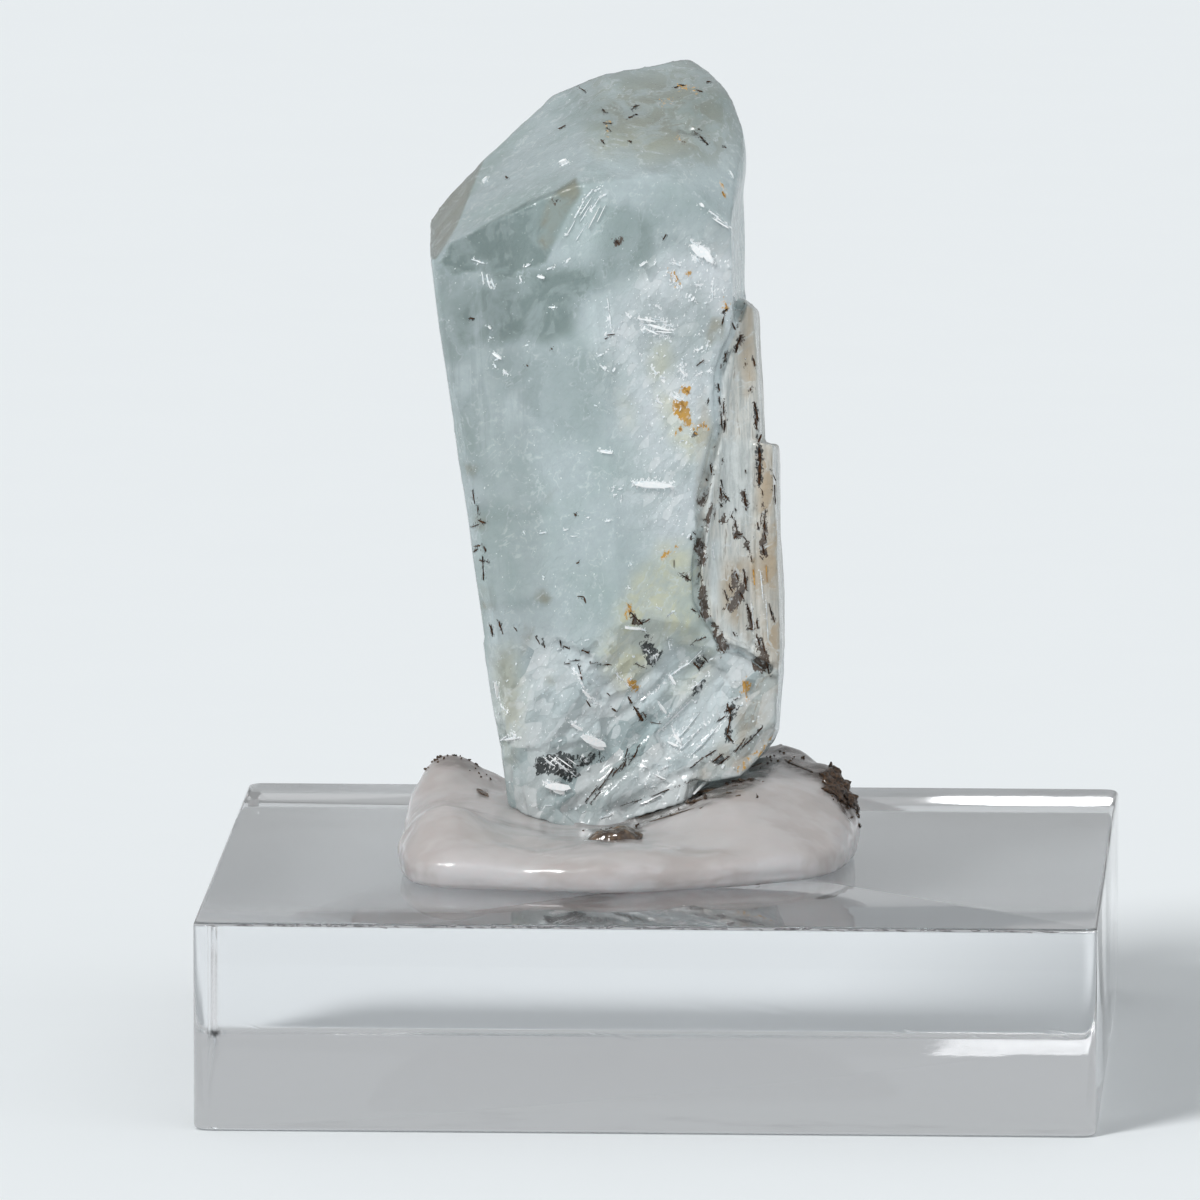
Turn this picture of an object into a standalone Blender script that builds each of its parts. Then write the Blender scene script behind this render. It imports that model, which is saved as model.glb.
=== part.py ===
"""A pale blue topaz crystal, stuck in a lump of putty on a clear acrylic block.

Metres, +Z up. The origin is the middle of the block's underside, and the side seen first faces -Y.
The dimensions below are in millimetres and every one is turned into metres by mm().
"""

import math

import bmesh
import bpy
from mathutils import Matrix, Vector, noise

# Block: a square cut from clear sheet
BLOCK_SIDE = 25.4
BLOCK_HEIGHT = 5.9
BLOCK_CORNER = 0.45
BLOCK_EDGE = 0.12

# Fit of one piece in the next
GAP = 0.3

# Crystal: the block of stone that the faces are cut from
ROUGH_CENTRE = (-1.7, 0.5, 17.4)
ROUGH_SIZE = (16.0, 12.0, 30.0)

# Its flat faces, each through three points
FACES = {
    "front left": ((-6.45, -2.15, 23.35), (-3.83, -1.85, 7.54), (-1.71, -2.9, 20.88)),
    "front right": ((-1.71, -2.9, 20.88), (-0.91, -2.5, 7.89), (1.97, -1.9, 24.31)),
    "left strip": ((-6.45, -2.15, 23.35), (-5.49, -1.4, 15.19), (-4.94, -2.25, 15.19)),
    "left": ((-6.58, -1.5, 23.15), (-4.43, -1.1, 7.54), (-6.65, 1.3, 23.15)),
    "back left": ((-6.65, 1.3, 23.15), (-4.43, 1.9, 7.54), (-3.9, 3.5, 23.15)),
    "back": ((-3.9, 3.5, 23.15), (-2.72, 3.6, 7.54), (0.71, 3.6, 23.15)),
    "back right": ((0.71, 3.6, 23.15), (1.01, 3.7, 7.54), (2.22, 1.3, 23.15)),
    "right": ((1.97, -1.9, 24.31), (2.22, 1.3, 23.15), (2.42, 1.1, 11.32)),
    "right chamfer": ((2.07, -1.85, 22.8), (1.15, -2.05, 14.4), (1.85, -0.7, 14.4)),
    "tip left": ((-2.34, -2.8, 25.72), (-6.04, -2.15, 23.85), (-3.28, 2.7, 27.43)),
    "tip right": ((-2.34, -2.8, 25.72), (0.25, -2.3, 25.82), (0.3, 3.3, 28.54)),
    "tip corner": ((0.25, -2.3, 25.82), (1.97, -1.9, 24.31), (2.22, 1.3, 26.73)),
    "tip back": ((-2.72, 2.7, 27.68), (-1.61, 2.53, 28.1), (0.3, 3.3, 28.34)),
    "shoulder": ((-5.32, 0.5, 25.42), (-6.45, -2.15, 23.35), (-6.71, 1.5, 24.06)),
}
# A face seen edge on is given by a point and the way it looks
EDGE_ON_FACES = {
    "shoulder back": ((-3.28, 2.7, 27.46), (-0.716, 0.17, 0.684)),
    "worn corner high": ((0.76, 2.7, 28.44), (0.53, 0.25, 0.85)),
    "worn corner middle": ((1.56, 2.3, 27.99), (0.82, 0.22, 0.50)),
    "worn corner low": ((2.12, 1.5, 27.03), (0.97, 0.18, 0.16)),
    "broken foot left": ((-1.98, -0.5, 6.85), (-0.24, 0.05, -0.97)),
    "broken foot right": ((-1.98, -0.5, 6.85), (0.33, 0.08, -0.94)),
}

# Laths of stone grown along the right side: outline as (x, z), front at its left edge, back
LATHS = {
    "long": {
        "outline": (
            (2.33, 22.08), (2.59, 21.82), (2.73, 19.52), (2.77, 17.36), (2.87, 14.34), (2.96, 11.5),
            (2.28, 11.97), (1.76, 12.17), (1.39, 12.85), (1.05, 13.53), (1.0, 14.43), (1.17, 15.7),
            (1.14, 16.28), (1.34, 17.31), (1.65, 18.56), (1.65, 20.07), (1.81, 20.61), (2.05, 21.07),
        ),
        "front": -1.75,
        "slant": 0.38,
        "back": 2.3,
    },
    "short": {
        "outline": (
            (2.57, 18.11), (3.15, 17.94), (3.23, 16.05), (3.33, 13.69), (3.35, 12.68), (3.32, 11.21),
            (2.82, 11.41), (2.52, 13.33), (2.62, 15.85),
        ),
        "front": -1.55,
        "slant": 0.38,
        "back": 2.7,
    },
    "foot": {
        "outline": (
            (1.7, 12.5), (2.35, 12.2), (2.95, 11.75), (3.32, 11.45), (3.28, 10.76), (3.21, 9.69),
            (3.07, 9.37), (2.82, 9.06), (2.22, 8.39), (1.21, 8.29), (0.1, 8.5), (-0.2, 10.3),
            (0.4, 12.3), (1.1, 12.9),
        ),
        "front": -2.25,
        "slant": 0.32,
        "back": 2.5,
    },
}
# How far a lath drops for each step it goes back
LATH_FALL = 0.15

# Crack between the crystal and its laths, and the one between the laths: points as (x, z)
CRACKS = {
    "main": {
        "path": (
            (2.42, 22.29), (2.05, 21.07), (1.81, 20.61), (1.65, 20.07), (1.65, 18.56), (1.34, 17.31),
            (1.14, 16.28), (1.17, 15.7), (1.0, 14.43), (1.05, 13.53), (1.39, 12.85), (1.76, 12.17),
            (2.28, 11.97), (3.12, 11.41),
        ),
        "width": 0.3,
    },
    "lath": {
        "path": ((2.6, 20.38), (2.66, 18.77), (2.7, 16.55), (2.54, 14.33), (2.6, 12.52)),
        "width": 0.16,
    },
}
CRACK_DEPTH = 0.75
CRACK_MOUTH = 1.2
# The stone's front where the laths join it: its depth at an x, and how far it slants back towards +x
CRACKED_FRONT = (1.0, -2.0)
CRACKED_SLANT = 0.36

# Shell-like hollows of the broken foot: centre and radius of each ball
SHELL_HOLLOWS = (
    ((-0.56, -10.1, 8.58), 8.45),
    ((1.41, -8.4, 9.89), 7.0),
)
# Flutes across the break: lower end and radius
FLUTES = (
    ((-3.32, -2.5, 7.99), 0.55),
    ((-2.17, -2.3, 7.69), 0.6),
    ((-0.7, -2.25, 7.79), 0.7),
    ((0.3, -2.1, 8.89), 0.6),
)
FLUTE_LENGTH = 3.2
FLUTE_TILT = 44.0

# Pits: centre, size along x, y and z
PITS = (
    ((-3.12, -2.25, 9.15), (0.62, 0.35, 0.34)),
    ((-0.2, -2.75, 12.32), (0.33, 0.3, 0.35)),
    ((0.76, -0.1, 26.78), (0.3, 0.3, 0.25)),
)

# Putty: points that its edge on the block passes through, from the left corner at the front
PUTTY_EDGE = (
    (-6.3, -6.5), (-3.8, -6.9), (-1.1, -7.2), (1.2, -6.4), (3.2, -5.4), (4.8, -3.9), (5.4, -1.4),
    (5.4, 1.5), (4.5, 4.2), (1.6, 5.3), (-2.4, 5.7), (-5.8, 4.6), (-7.25, 2.0), (-7.35, -1.5), (-7.2, -4.8),
)
PUTTY_STEPS = 4
# Rings from the edge to the middle: how far out, and how much of the height is reached
PUTTY_RINGS = (
    (1.0, 0.0), (1.012, 0.2), (1.008, 0.42), (0.985, 0.63), (0.945, 0.8), (0.89, 0.92), (0.82, 0.98),
    (0.73, 1.0), (0.63, 1.0), (0.52, 1.0), (0.4, 1.0), (0.27, 1.0), (0.13, 1.0),
)
PUTTY_HEIGHT = 1.1
# Lumps and dents pressed by fingers: centre, reach, height
PUTTY_LUMPS = (
    ((-6.1, -4.2), 1.5, 1.15),
    ((-6.5, -1.4), 1.4, 0.65),
    ((-6.6, 1.6), 1.45, 1.65),
    ((-4.9, 2.2), 1.3, 0.45),
    ((-4.6, -0.6), 1.3, 0.45),
    ((3.2, 2.6), 1.9, 1.75),
    ((3.9, -0.6), 1.9, 1.0),
    ((5.2, 1.0), 1.0, 0.9),
    ((1.9, -2.2), 1.8, 1.0),
    ((-1.0, 4.2), 2.6, 0.9),
    ((-3.5, 4.4), 1.3, 0.5),
)
PUTTY_ROUGHNESS = 0.16
PUTTY_GRAIN = 2.6

# Socket in the putty: it takes in the crystal up to this height, and is this much wider
SOCKET_TOP = 12.5
SOCKET_SPREAD = 1.09


def mm(value):
    """Turns a number or a point from millimetres to metres."""
    if isinstance(value, (int, float)):
        return value * 0.001
    return Vector(value) * 0.001


def clear_scene():
    for item in list(bpy.data.objects):
        bpy.data.objects.remove(item, do_unlink=True)


def make_material(name, colour, roughness, transmission=0.0, ior=1.5):
    material = bpy.data.materials.new(name)
    material.use_nodes = True
    shader = material.node_tree.nodes["Principled BSDF"]
    shader.inputs["Base Color"].default_value = (*colour, 1.0)
    shader.inputs["Roughness"].default_value = roughness
    shader.inputs["Metallic"].default_value = 0.0
    shader.inputs["Transmission Weight"].default_value = transmission
    shader.inputs["IOR"].default_value = ior
    material.diffuse_color = (*colour, 1.0)
    return material


def new_object(name, mesh_builder, material=None):
    """Links a new object whose mesh is the given bmesh, and frees the bmesh."""
    mesh = bpy.data.meshes.new(name)
    bmesh.ops.recalc_face_normals(mesh_builder, faces=mesh_builder.faces)
    mesh_builder.to_mesh(mesh)
    mesh_builder.free()
    obj = bpy.data.objects.new(name, mesh)
    bpy.context.scene.collection.objects.link(obj)
    if material:
        mesh.materials.append(material)
    return obj


def hide_helper(obj):
    obj.hide_render = True
    obj.display_type = "WIRE"
    return obj


def add_boolean(target, other, operation):
    modifier = target.modifiers.new(f"{operation.title()} {other.name}", "BOOLEAN")
    modifier.operation = operation
    modifier.solver = "EXACT"
    modifier.object = hide_helper(other)
    return modifier


def plane_through(points, inside):
    """A point and an outward normal of the plane through three points."""
    first, second, third = (Vector(point) for point in points)
    normal = (second - first).cross(third - first).normalized()
    if normal.dot(Vector(inside) - first) > 0.0:
        normal.negate()
    return first, normal


def cut_off(shape, point, normal):
    """Cuts away what lies beyond a plane and closes the cut."""
    everything = shape.verts[:] + shape.edges[:] + shape.faces[:]
    bmesh.ops.bisect_plane(
        shape, geom=everything, dist=1e-7, plane_co=mm(point), plane_no=Vector(normal).normalized(), clear_outer=True
    )
    open_edges = [edge for edge in shape.edges if edge.is_boundary]
    bmesh.ops.holes_fill(shape, edges=open_edges, sides=0)


def cut_crystal():
    shape = bmesh.new()
    bmesh.ops.create_cube(shape, size=1.0)
    bmesh.ops.scale(shape, vec=mm(ROUGH_SIZE), verts=shape.verts)
    bmesh.ops.translate(shape, vec=mm(ROUGH_CENTRE), verts=shape.verts)
    for points in FACES.values():
        cut_off(shape, *plane_through(points, ROUGH_CENTRE))
    for point, normal in EDGE_ON_FACES.values():
        cut_off(shape, point, normal)
    return shape


def lath(name, outline, front, slant, back):
    """A flat lath: its outline stands in the x-z plane, and its front slants back towards +x."""
    shape = bmesh.new()
    left = min(x for x, _ in outline)
    corners = [shape.verts.new(mm((x, front + slant * (x - left), z))) for x, z in outline]
    face = shape.faces.new(corners)
    grown = bmesh.ops.extrude_face_region(shape, geom=[face])
    for vertex in grown["geom"]:
        if isinstance(vertex, bmesh.types.BMVert):
            vertex.co.z -= (mm(back) - vertex.co.y) * LATH_FALL
            vertex.co.y = mm(back)
    return new_object(f"cutter_lath_{name}", shape)


def crack(name, path, width):
    """A wedge-shaped groove that follows a path down the front of the stone."""
    shape = bmesh.new()
    start, depth = CRACKED_FRONT
    rows = []
    for index, (x, z) in enumerate(path):
        ahead = Vector(path[min(index + 1, len(path) - 1)])
        behind = Vector(path[max(index - 1, 0)])
        along = (ahead - behind).normalized()
        aside = Vector((-along.y, 0.0, along.x)) * width * 0.5
        surface = Vector((x, depth + CRACKED_SLANT * (x - start), z))
        mouth = surface - Vector((0.0, CRACK_MOUTH, 0.0))
        bottom = surface + Vector((0.0, CRACK_DEPTH, 0.0))
        section = (mouth + aside * 2.6, mouth - aside * 2.6, surface - aside, bottom, surface + aside)
        rows.append([shape.verts.new(mm(point)) for point in section])
    for upper, lower in zip(rows, rows[1:]):
        join_rings(shape, upper, lower)
    shape.faces.new(rows[0])
    shape.faces.new(rows[-1])
    return new_object(f"cutter_crack_{name}", shape)


def join_rings(shape, first, second):
    """Faces between two closed rings of as many points."""
    for index in range(len(first)):
        after = (index + 1) % len(first)
        shape.faces.new((first[index], first[after], second[after], second[index]))


def ball(name, centre, radius, size=(1.0, 1.0, 1.0), fineness=3):
    shape = bmesh.new()
    bmesh.ops.create_icosphere(shape, subdivisions=fineness, radius=mm(radius))
    bmesh.ops.scale(shape, vec=size, verts=shape.verts)
    bmesh.ops.translate(shape, vec=mm(centre), verts=shape.verts)
    return new_object(name, shape)


def flute(index, end, radius):
    shape = bmesh.new()
    length = mm(FLUTE_LENGTH)
    bmesh.ops.create_cone(
        shape, cap_ends=True, segments=16, radius1=mm(radius), radius2=mm(radius * 0.55), depth=length
    )
    bmesh.ops.translate(shape, vec=(0.0, 0.0, length * 0.3), verts=shape.verts)
    turn = Matrix.Rotation(math.radians(FLUTE_TILT), 4, "Y")
    bmesh.ops.transform(shape, matrix=Matrix.Translation(mm(end)) @ turn, verts=shape.verts)
    return new_object(f"cutter_flute_{index}", shape)


def build_crystal():
    material = make_material("topaz", (0.62, 0.72, 0.74), 0.12, transmission=0.6, ior=1.62)
    crystal = new_object("topaz_crystal", cut_crystal(), material)
    for name, sizes in LATHS.items():
        add_boolean(crystal, lath(name, **sizes), "UNION")
    for index, (centre, radius) in enumerate(SHELL_HOLLOWS):
        add_boolean(crystal, ball(f"cutter_hollow_{index}", centre, radius, fineness=5), "DIFFERENCE")
    for index, (end, radius) in enumerate(FLUTES):
        add_boolean(crystal, flute(index, end, radius), "DIFFERENCE")
    for name, sizes in CRACKS.items():
        add_boolean(crystal, crack(name, **sizes), "DIFFERENCE")
    for index, (centre, size) in enumerate(PITS):
        add_boolean(crystal, ball(f"cutter_pit_{index}", centre, 1.0, size, fineness=2), "DIFFERENCE")
    return crystal


def putty_height(x, y):
    """Height of the putty over the block, in millimetres."""
    height = PUTTY_HEIGHT
    for (cx, cy), reach, rise in PUTTY_LUMPS:
        height += rise * math.exp(-((x - cx) ** 2 + (y - cy) ** 2) / (reach * reach))
    return height + PUTTY_ROUGHNESS * noise.noise(Vector((x, y, 0.0)) / PUTTY_GRAIN)


def smooth_loop(points, steps):
    """Points along a closed smooth curve that passes through the given ones."""
    curve = []
    count = len(points)
    for index in range(count):
        before, here, after, beyond = (Vector(points[(index + shift) % count]) for shift in (-1, 0, 1, 2))
        for step in range(steps):
            share = step / steps
            curve.append(
                0.5
                * (
                    2.0 * here
                    + (after - before) * share
                    + (2.0 * before - 5.0 * here + 4.0 * after - beyond) * share**2
                    + (3.0 * here - before - 3.0 * after + beyond) * share**3
                )
            )
    return curve


def build_putty(crystal):
    shape = bmesh.new()
    edge = smooth_loop(PUTTY_EDGE, PUTTY_STEPS)
    middle = sum(edge, Vector((0.0, 0.0))) / len(edge)
    rings = []
    for reach, share in PUTTY_RINGS:
        ring = []
        for point in edge:
            x, y = middle + (point - middle) * reach
            height = GAP + (putty_height(x, y) - GAP) * share
            ring.append(shape.verts.new(mm((x, y, BLOCK_HEIGHT + height))))
        rings.append(ring)
    for lower, upper in zip(rings, rings[1:]):
        join_rings(shape, lower, upper)
    shape.faces.new(rings[0])
    shape.faces.new(rings[-1])
    material = make_material("tack_putty", (0.70, 0.64, 0.64), 0.35, transmission=0.2, ior=1.48)
    putty = new_object("mounting_putty", shape, material)
    putty.data.shade_smooth()
    add_boolean(putty, socket(crystal), "DIFFERENCE")
    return putty


def socket(crystal):
    """The hollow that the crystal stands in: the hull of its foot, spread and lowered to leave the gap."""
    bpy.context.view_layer.update()
    finished = crystal.evaluated_get(bpy.context.evaluated_depsgraph_get())
    foot = bmesh.new()
    foot.from_mesh(finished.data)
    everything = foot.verts[:] + foot.edges[:] + foot.faces[:]
    top = mm((0.0, 0.0, SOCKET_TOP))
    bmesh.ops.bisect_plane(foot, geom=everything, dist=1e-7, plane_co=top, plane_no=(0.0, 0.0, 1.0), clear_outer=True)
    shape = bmesh.new()
    for vertex in foot.verts:
        shape.verts.new(vertex.co)
    foot.free()
    hull = bmesh.ops.convex_hull(shape, input=shape.verts, use_existing_faces=False)
    spare = {item for item in hull["geom_interior"] + hull["geom_unused"] if isinstance(item, bmesh.types.BMVert)}
    bmesh.ops.delete(shape, geom=list(spare), context="VERTS")
    middle = sum((vertex.co for vertex in shape.verts), Vector()) / len(shape.verts)
    for vertex in shape.verts:
        vertex.co.x = middle.x + (vertex.co.x - middle.x) * SOCKET_SPREAD
        vertex.co.y = middle.y + (vertex.co.y - middle.y) * SOCKET_SPREAD
        vertex.co.z -= mm(GAP)
    return new_object("cutter_socket", shape)


def build_block():
    shape = bmesh.new()
    bmesh.ops.create_cube(shape, size=1.0)
    bmesh.ops.scale(shape, vec=mm((BLOCK_SIDE, BLOCK_SIDE, BLOCK_HEIGHT)), verts=shape.verts)
    bmesh.ops.translate(shape, vec=mm((0.0, 0.0, BLOCK_HEIGHT / 2.0)), verts=shape.verts)
    upright = [edge for edge in shape.edges if abs(edge.verts[0].co.z - edge.verts[1].co.z) > mm(1.0)]
    bmesh.ops.bevel(shape, geom=upright, offset=mm(BLOCK_CORNER), segments=4, profile=0.5, affect="EDGES")
    level = [edge for edge in shape.edges if abs(edge.verts[0].co.z - edge.verts[1].co.z) < mm(0.01)]
    bmesh.ops.bevel(shape, geom=level, offset=mm(BLOCK_EDGE), segments=2, profile=0.5, affect="EDGES")
    material = make_material("clear_acrylic", (0.95, 0.96, 0.97), 0.03, transmission=1.0, ior=1.49)
    return new_object("acrylic_base", shape, material)


clear_scene()
build_block()
build_putty(build_crystal())
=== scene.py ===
"""Finish and fine detail of a topaz specimen: the crystal, the lump of tack that holds it and its block.

Sizes are in millimetres unless a name says otherwise. A piece is shaped at one unit per millimetre and
brought to metres when it is handed over. The side that is seen first faces -Y, and +Z is up.
"""
import logging
import math
from dataclasses import dataclass
from enum import Enum
from typing import Callable, Optional, Sequence, Union

import bpy
import numpy as np
from mathutils import Matrix, Vector


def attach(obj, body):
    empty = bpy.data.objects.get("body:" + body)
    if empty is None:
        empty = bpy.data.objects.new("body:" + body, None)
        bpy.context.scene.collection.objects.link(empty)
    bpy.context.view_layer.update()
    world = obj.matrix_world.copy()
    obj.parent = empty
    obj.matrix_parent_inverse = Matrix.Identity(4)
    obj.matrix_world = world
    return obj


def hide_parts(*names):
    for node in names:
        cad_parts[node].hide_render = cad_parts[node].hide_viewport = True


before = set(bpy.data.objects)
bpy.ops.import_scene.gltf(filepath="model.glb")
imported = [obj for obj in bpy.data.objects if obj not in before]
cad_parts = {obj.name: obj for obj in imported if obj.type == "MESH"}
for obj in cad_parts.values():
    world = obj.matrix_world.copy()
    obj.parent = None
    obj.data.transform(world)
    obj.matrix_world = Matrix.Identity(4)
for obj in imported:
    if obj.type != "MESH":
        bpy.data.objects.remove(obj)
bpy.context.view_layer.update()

UNITS_PER_METRE = 1000.0
LOG = logging.getLogger("topaz")

Point2 = tuple[float, float]
Point3 = tuple[float, float, float]
Colour = tuple[float, float, float]
Stroke = tuple[float, float, float, float, float]
Heap = tuple[Point3, Point3, int, float]
Piece = bpy.types.Object
Material = bpy.types.Material
Node = bpy.types.Node
Socket = bpy.types.NodeSocket
Input = Union[Socket, float, Colour]


def screen(red: float, green: float, blue: float) -> Colour:
    """A linear colour from the 0 to 255 values that a screen shows.

    Args:
        red: Red, 0 to 255.
        green: Green, 0 to 255.
        blue: Blue, 0 to 255.

    Returns:
        The colour as the renderer counts it.
    """
    values = []
    for value in (red, green, blue):
        share = value / 255.0
        values.append(share / 12.92 if share <= 0.04045 else ((share + 0.055) / 1.055) ** 2.4)
    return values[0], values[1], values[2]


class Slot(Enum):
    """The material slots."""

    STONE = "topaz"
    TACK = "tack_putty"
    ACRYLIC = "clear_acrylic"


class Bench:
    """Blender's modelling tools, used in the same way for every piece."""

    merge_distance = 0.0005

    @staticmethod
    def put_down() -> None:
        """Leaves edit mode and deselects everything."""
        if bpy.context.mode != "OBJECT":
            bpy.ops.object.mode_set(mode="OBJECT")
        bpy.ops.object.select_all(action="DESELECT")

    @staticmethod
    def pick_up(piece: Piece) -> None:
        """Makes a piece the only selected and the active object.

        Args:
            piece: The piece.
        """
        Bench.put_down()
        piece.select_set(True)
        bpy.context.view_layer.objects.active = piece

    @staticmethod
    def copy_solid(node: str, name: str) -> Piece:
        """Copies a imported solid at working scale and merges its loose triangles.

        Args:
            node: The solid's node.
            name: The name of the copy.

        Returns:
            The copy.
        """
        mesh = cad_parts[node].data.copy()
        mesh.name = name
        mesh.materials.clear()
        piece = bpy.data.objects.new(name, mesh)
        bpy.context.scene.collection.objects.link(piece)
        Bench.pick_up(piece)
        piece.scale = (UNITS_PER_METRE,) * 3
        bpy.ops.object.transform_apply(location=False, rotation=False, scale=True)
        bpy.ops.object.mode_set(mode="EDIT")
        bpy.ops.mesh.select_all(action="SELECT")
        bpy.ops.mesh.remove_doubles(threshold=Bench.merge_distance)
        bpy.ops.object.mode_set(mode="OBJECT")
        return piece

    @staticmethod
    def join(name: str, parts: Sequence[Piece]) -> Piece:
        """Joins parts into one piece.

        Args:
            name: The piece's name.
            parts: The parts.

        Returns:
            The piece, with its place in its mesh.
        """
        Bench.put_down()
        for part in parts:
            part.select_set(True)
        bpy.context.view_layer.objects.active = parts[0]
        bpy.ops.object.join()
        piece = bpy.context.object
        piece.name = name
        bpy.ops.object.transform_apply(location=True, rotation=True, scale=True)
        return piece

    @staticmethod
    def modify(piece: Piece, kind: str, **settings: object) -> None:
        """Adds a modifier to a piece and applies it.

        Args:
            piece: The piece.
            kind: The modifier's type.
            **settings: The modifier's settings.
        """
        Bench.pick_up(piece)
        bpy.ops.object.modifier_add(type=kind)
        modifier = piece.modifiers[-1]
        for name, value in settings.items():
            setattr(modifier, name, value)
        bpy.ops.object.modifier_apply(modifier=modifier.name)

    @staticmethod
    def choose(piece: Piece, kind: str, test: Callable[..., bool]) -> None:
        """Goes into edit mode with only the parts selected that pass a test.

        Args:
            piece: The piece.
            kind: VERT, EDGE or FACE.
            test: Says whether a vertex, edge or face is selected.
        """
        Bench.pick_up(piece)
        bpy.ops.object.mode_set(mode="EDIT")
        bpy.ops.mesh.select_mode(type=kind)
        bpy.ops.mesh.select_all(action="DESELECT")
        bpy.ops.object.mode_set(mode="OBJECT")
        parts = {"VERT": piece.data.vertices, "EDGE": piece.data.edges, "FACE": piece.data.polygons}[kind]
        for part in parts:
            part.select = bool(test(part))
        bpy.ops.object.mode_set(mode="EDIT")

    @staticmethod
    def smooth(piece: Piece) -> None:
        """Shades a piece smooth."""
        Bench.pick_up(piece)
        bpy.ops.object.shade_smooth()

    @staticmethod
    def rows(parts: bpy.types.bpy_prop_collection, kind: str) -> np.ndarray:
        """Reads three numbers from each part of a mesh.

        Args:
            parts: The parts.
            kind: What is read.

        Returns:
            One row for each part.
        """
        values = np.empty(len(parts) * 3, dtype=np.float32)
        parts.foreach_get(kind, values)
        return values.reshape(-1, 3).astype(float)

    @staticmethod
    def points(piece: Piece) -> np.ndarray:
        """The places of a piece's vertices, one row each."""
        return Bench.rows(piece.data.vertices, "co")

    @staticmethod
    def directions(piece: Piece) -> np.ndarray:
        """The normals of a piece's vertices, one row each."""
        return Bench.rows(piece.data.vertex_normals, "vector")

    @staticmethod
    def mark(piece: Piece, name: str, weights: np.ndarray, levels: int = 24) -> None:
        """Keeps a weight for each vertex as a vertex group.

        Args:
            piece: The piece.
            name: The group's name.
            weights: A weight from 0 to 1 for each vertex.
            levels: How many steps the weights are rounded to.
        """
        group = piece.vertex_groups.new(name=name)
        steps = np.clip(np.rint(weights * levels), 0, levels).astype(int)
        for step in range(1, levels + 1):
            members = np.nonzero(steps == step)[0]
            if len(members):
                group.add(members.tolist(), step / levels, "REPLACE")

    @staticmethod
    def keep(piece: Piece, name: str, values: np.ndarray) -> None:
        """Keeps a value for each vertex as an attribute that a material can read."""
        attribute = piece.data.attributes.new(name, "FLOAT", "POINT")
        attribute.data.foreach_set("value", values.astype(np.float32))

    @staticmethod
    def hand_over(piece: Piece, material: Material, slot: Slot, *nodes: str) -> None:
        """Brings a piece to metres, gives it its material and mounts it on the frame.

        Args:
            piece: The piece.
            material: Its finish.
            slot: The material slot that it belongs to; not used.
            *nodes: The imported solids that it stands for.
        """
        Bench.pick_up(piece)
        piece.scale = (1.0 / UNITS_PER_METRE,) * 3
        bpy.ops.object.transform_apply(location=True, rotation=True, scale=True)
        piece.data.materials.clear()
        piece.data.materials.append(material)
        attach(piece, "root")
        if nodes:
            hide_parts(*nodes)
        LOG.info("%s: %d faces", piece.name, len(piece.data.polygons))


@dataclass(frozen=True)
class Relief:
    """A layer of relief that is pressed into a surface.

    Attributes:
        grain: The size of its lumps.
        height: From its lowest to its highest point.
        region: The vertex group that it keeps to, or nothing where it covers the whole piece.
        stretch: How many times longer than wide its lumps are.
        lean: How far their long way leans from upright towards +X, in degrees.
        octaves: How many finer layers are added.
        creased: Whether it has sharp creases.
    """

    grain: float
    height: float
    region: str = ""
    stretch: float = 1.0
    lean: float = 0.0
    octaves: int = 2
    creased: bool = False

    def press(self, piece: Piece) -> None:
        """Moves the piece's surface by the relief.

        Args:
            piece: The piece.
        """
        texture = bpy.data.textures.new("relief", "CLOUDS")
        texture.noise_scale = self.grain
        texture.noise_depth = self.octaves
        texture.noise_type = "HARD_NOISE" if self.creased else "SOFT_NOISE"
        Bench.put_down()
        bpy.ops.object.empty_add(location=(0.0, 0.0, 0.0), rotation=(0.0, math.radians(self.lean), 0.0))
        guide = bpy.context.object
        guide.scale = (1.0, 1.0, self.stretch)
        bpy.context.view_layer.update()
        Bench.modify(
            piece, "DISPLACE", texture=texture, texture_coords="OBJECT", texture_coords_object=guide,
            strength=self.height, mid_level=0.5, vertex_group=self.region,
        )
        bpy.data.objects.remove(guide, do_unlink=True)
        bpy.data.textures.remove(texture)


class Plan:
    """Measures on a flat drawing."""

    @staticmethod
    def distance(places: np.ndarray, path: Sequence[Point2]) -> np.ndarray:
        """How far places are from a path.

        Args:
            places: Places on the drawing, one row each.
            path: The path's corners.

        Returns:
            A distance for each place.
        """
        nearest = np.full(len(places), 1e9)
        for start, end in zip(path, path[1:]):
            first = np.array(start)
            along = np.array(end) - first
            share = np.clip(((places - first) @ along) / max(along @ along, 1e-9), 0.0, 1.0)
            nearest = np.minimum(nearest, np.linalg.norm(places - first - share[:, None] * along, axis=1))
        return nearest

    @staticmethod
    def inside(places: np.ndarray, outline: Sequence[Point2]) -> np.ndarray:
        """How deep places lie inside an outline, negative outside it.

        Args:
            places: Places on the drawing, one row each.
            outline: The outline's corners.

        Returns:
            A depth for each place.
        """
        across, up = places[:, 0], places[:, 1]
        within = np.zeros(len(places), dtype=bool)
        closed = tuple(outline) + (outline[0],)
        for (x0, y0), (x1, y1) in zip(closed, closed[1:]):
            crosses = (y0 > up) != (y1 > up)
            if y1 != y0:
                within ^= crosses & (across < (x1 - x0) * (up - y0) / (y1 - y0) + x0)
        depth = Plan.distance(places, closed)
        return np.where(within, depth, -depth)


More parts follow.
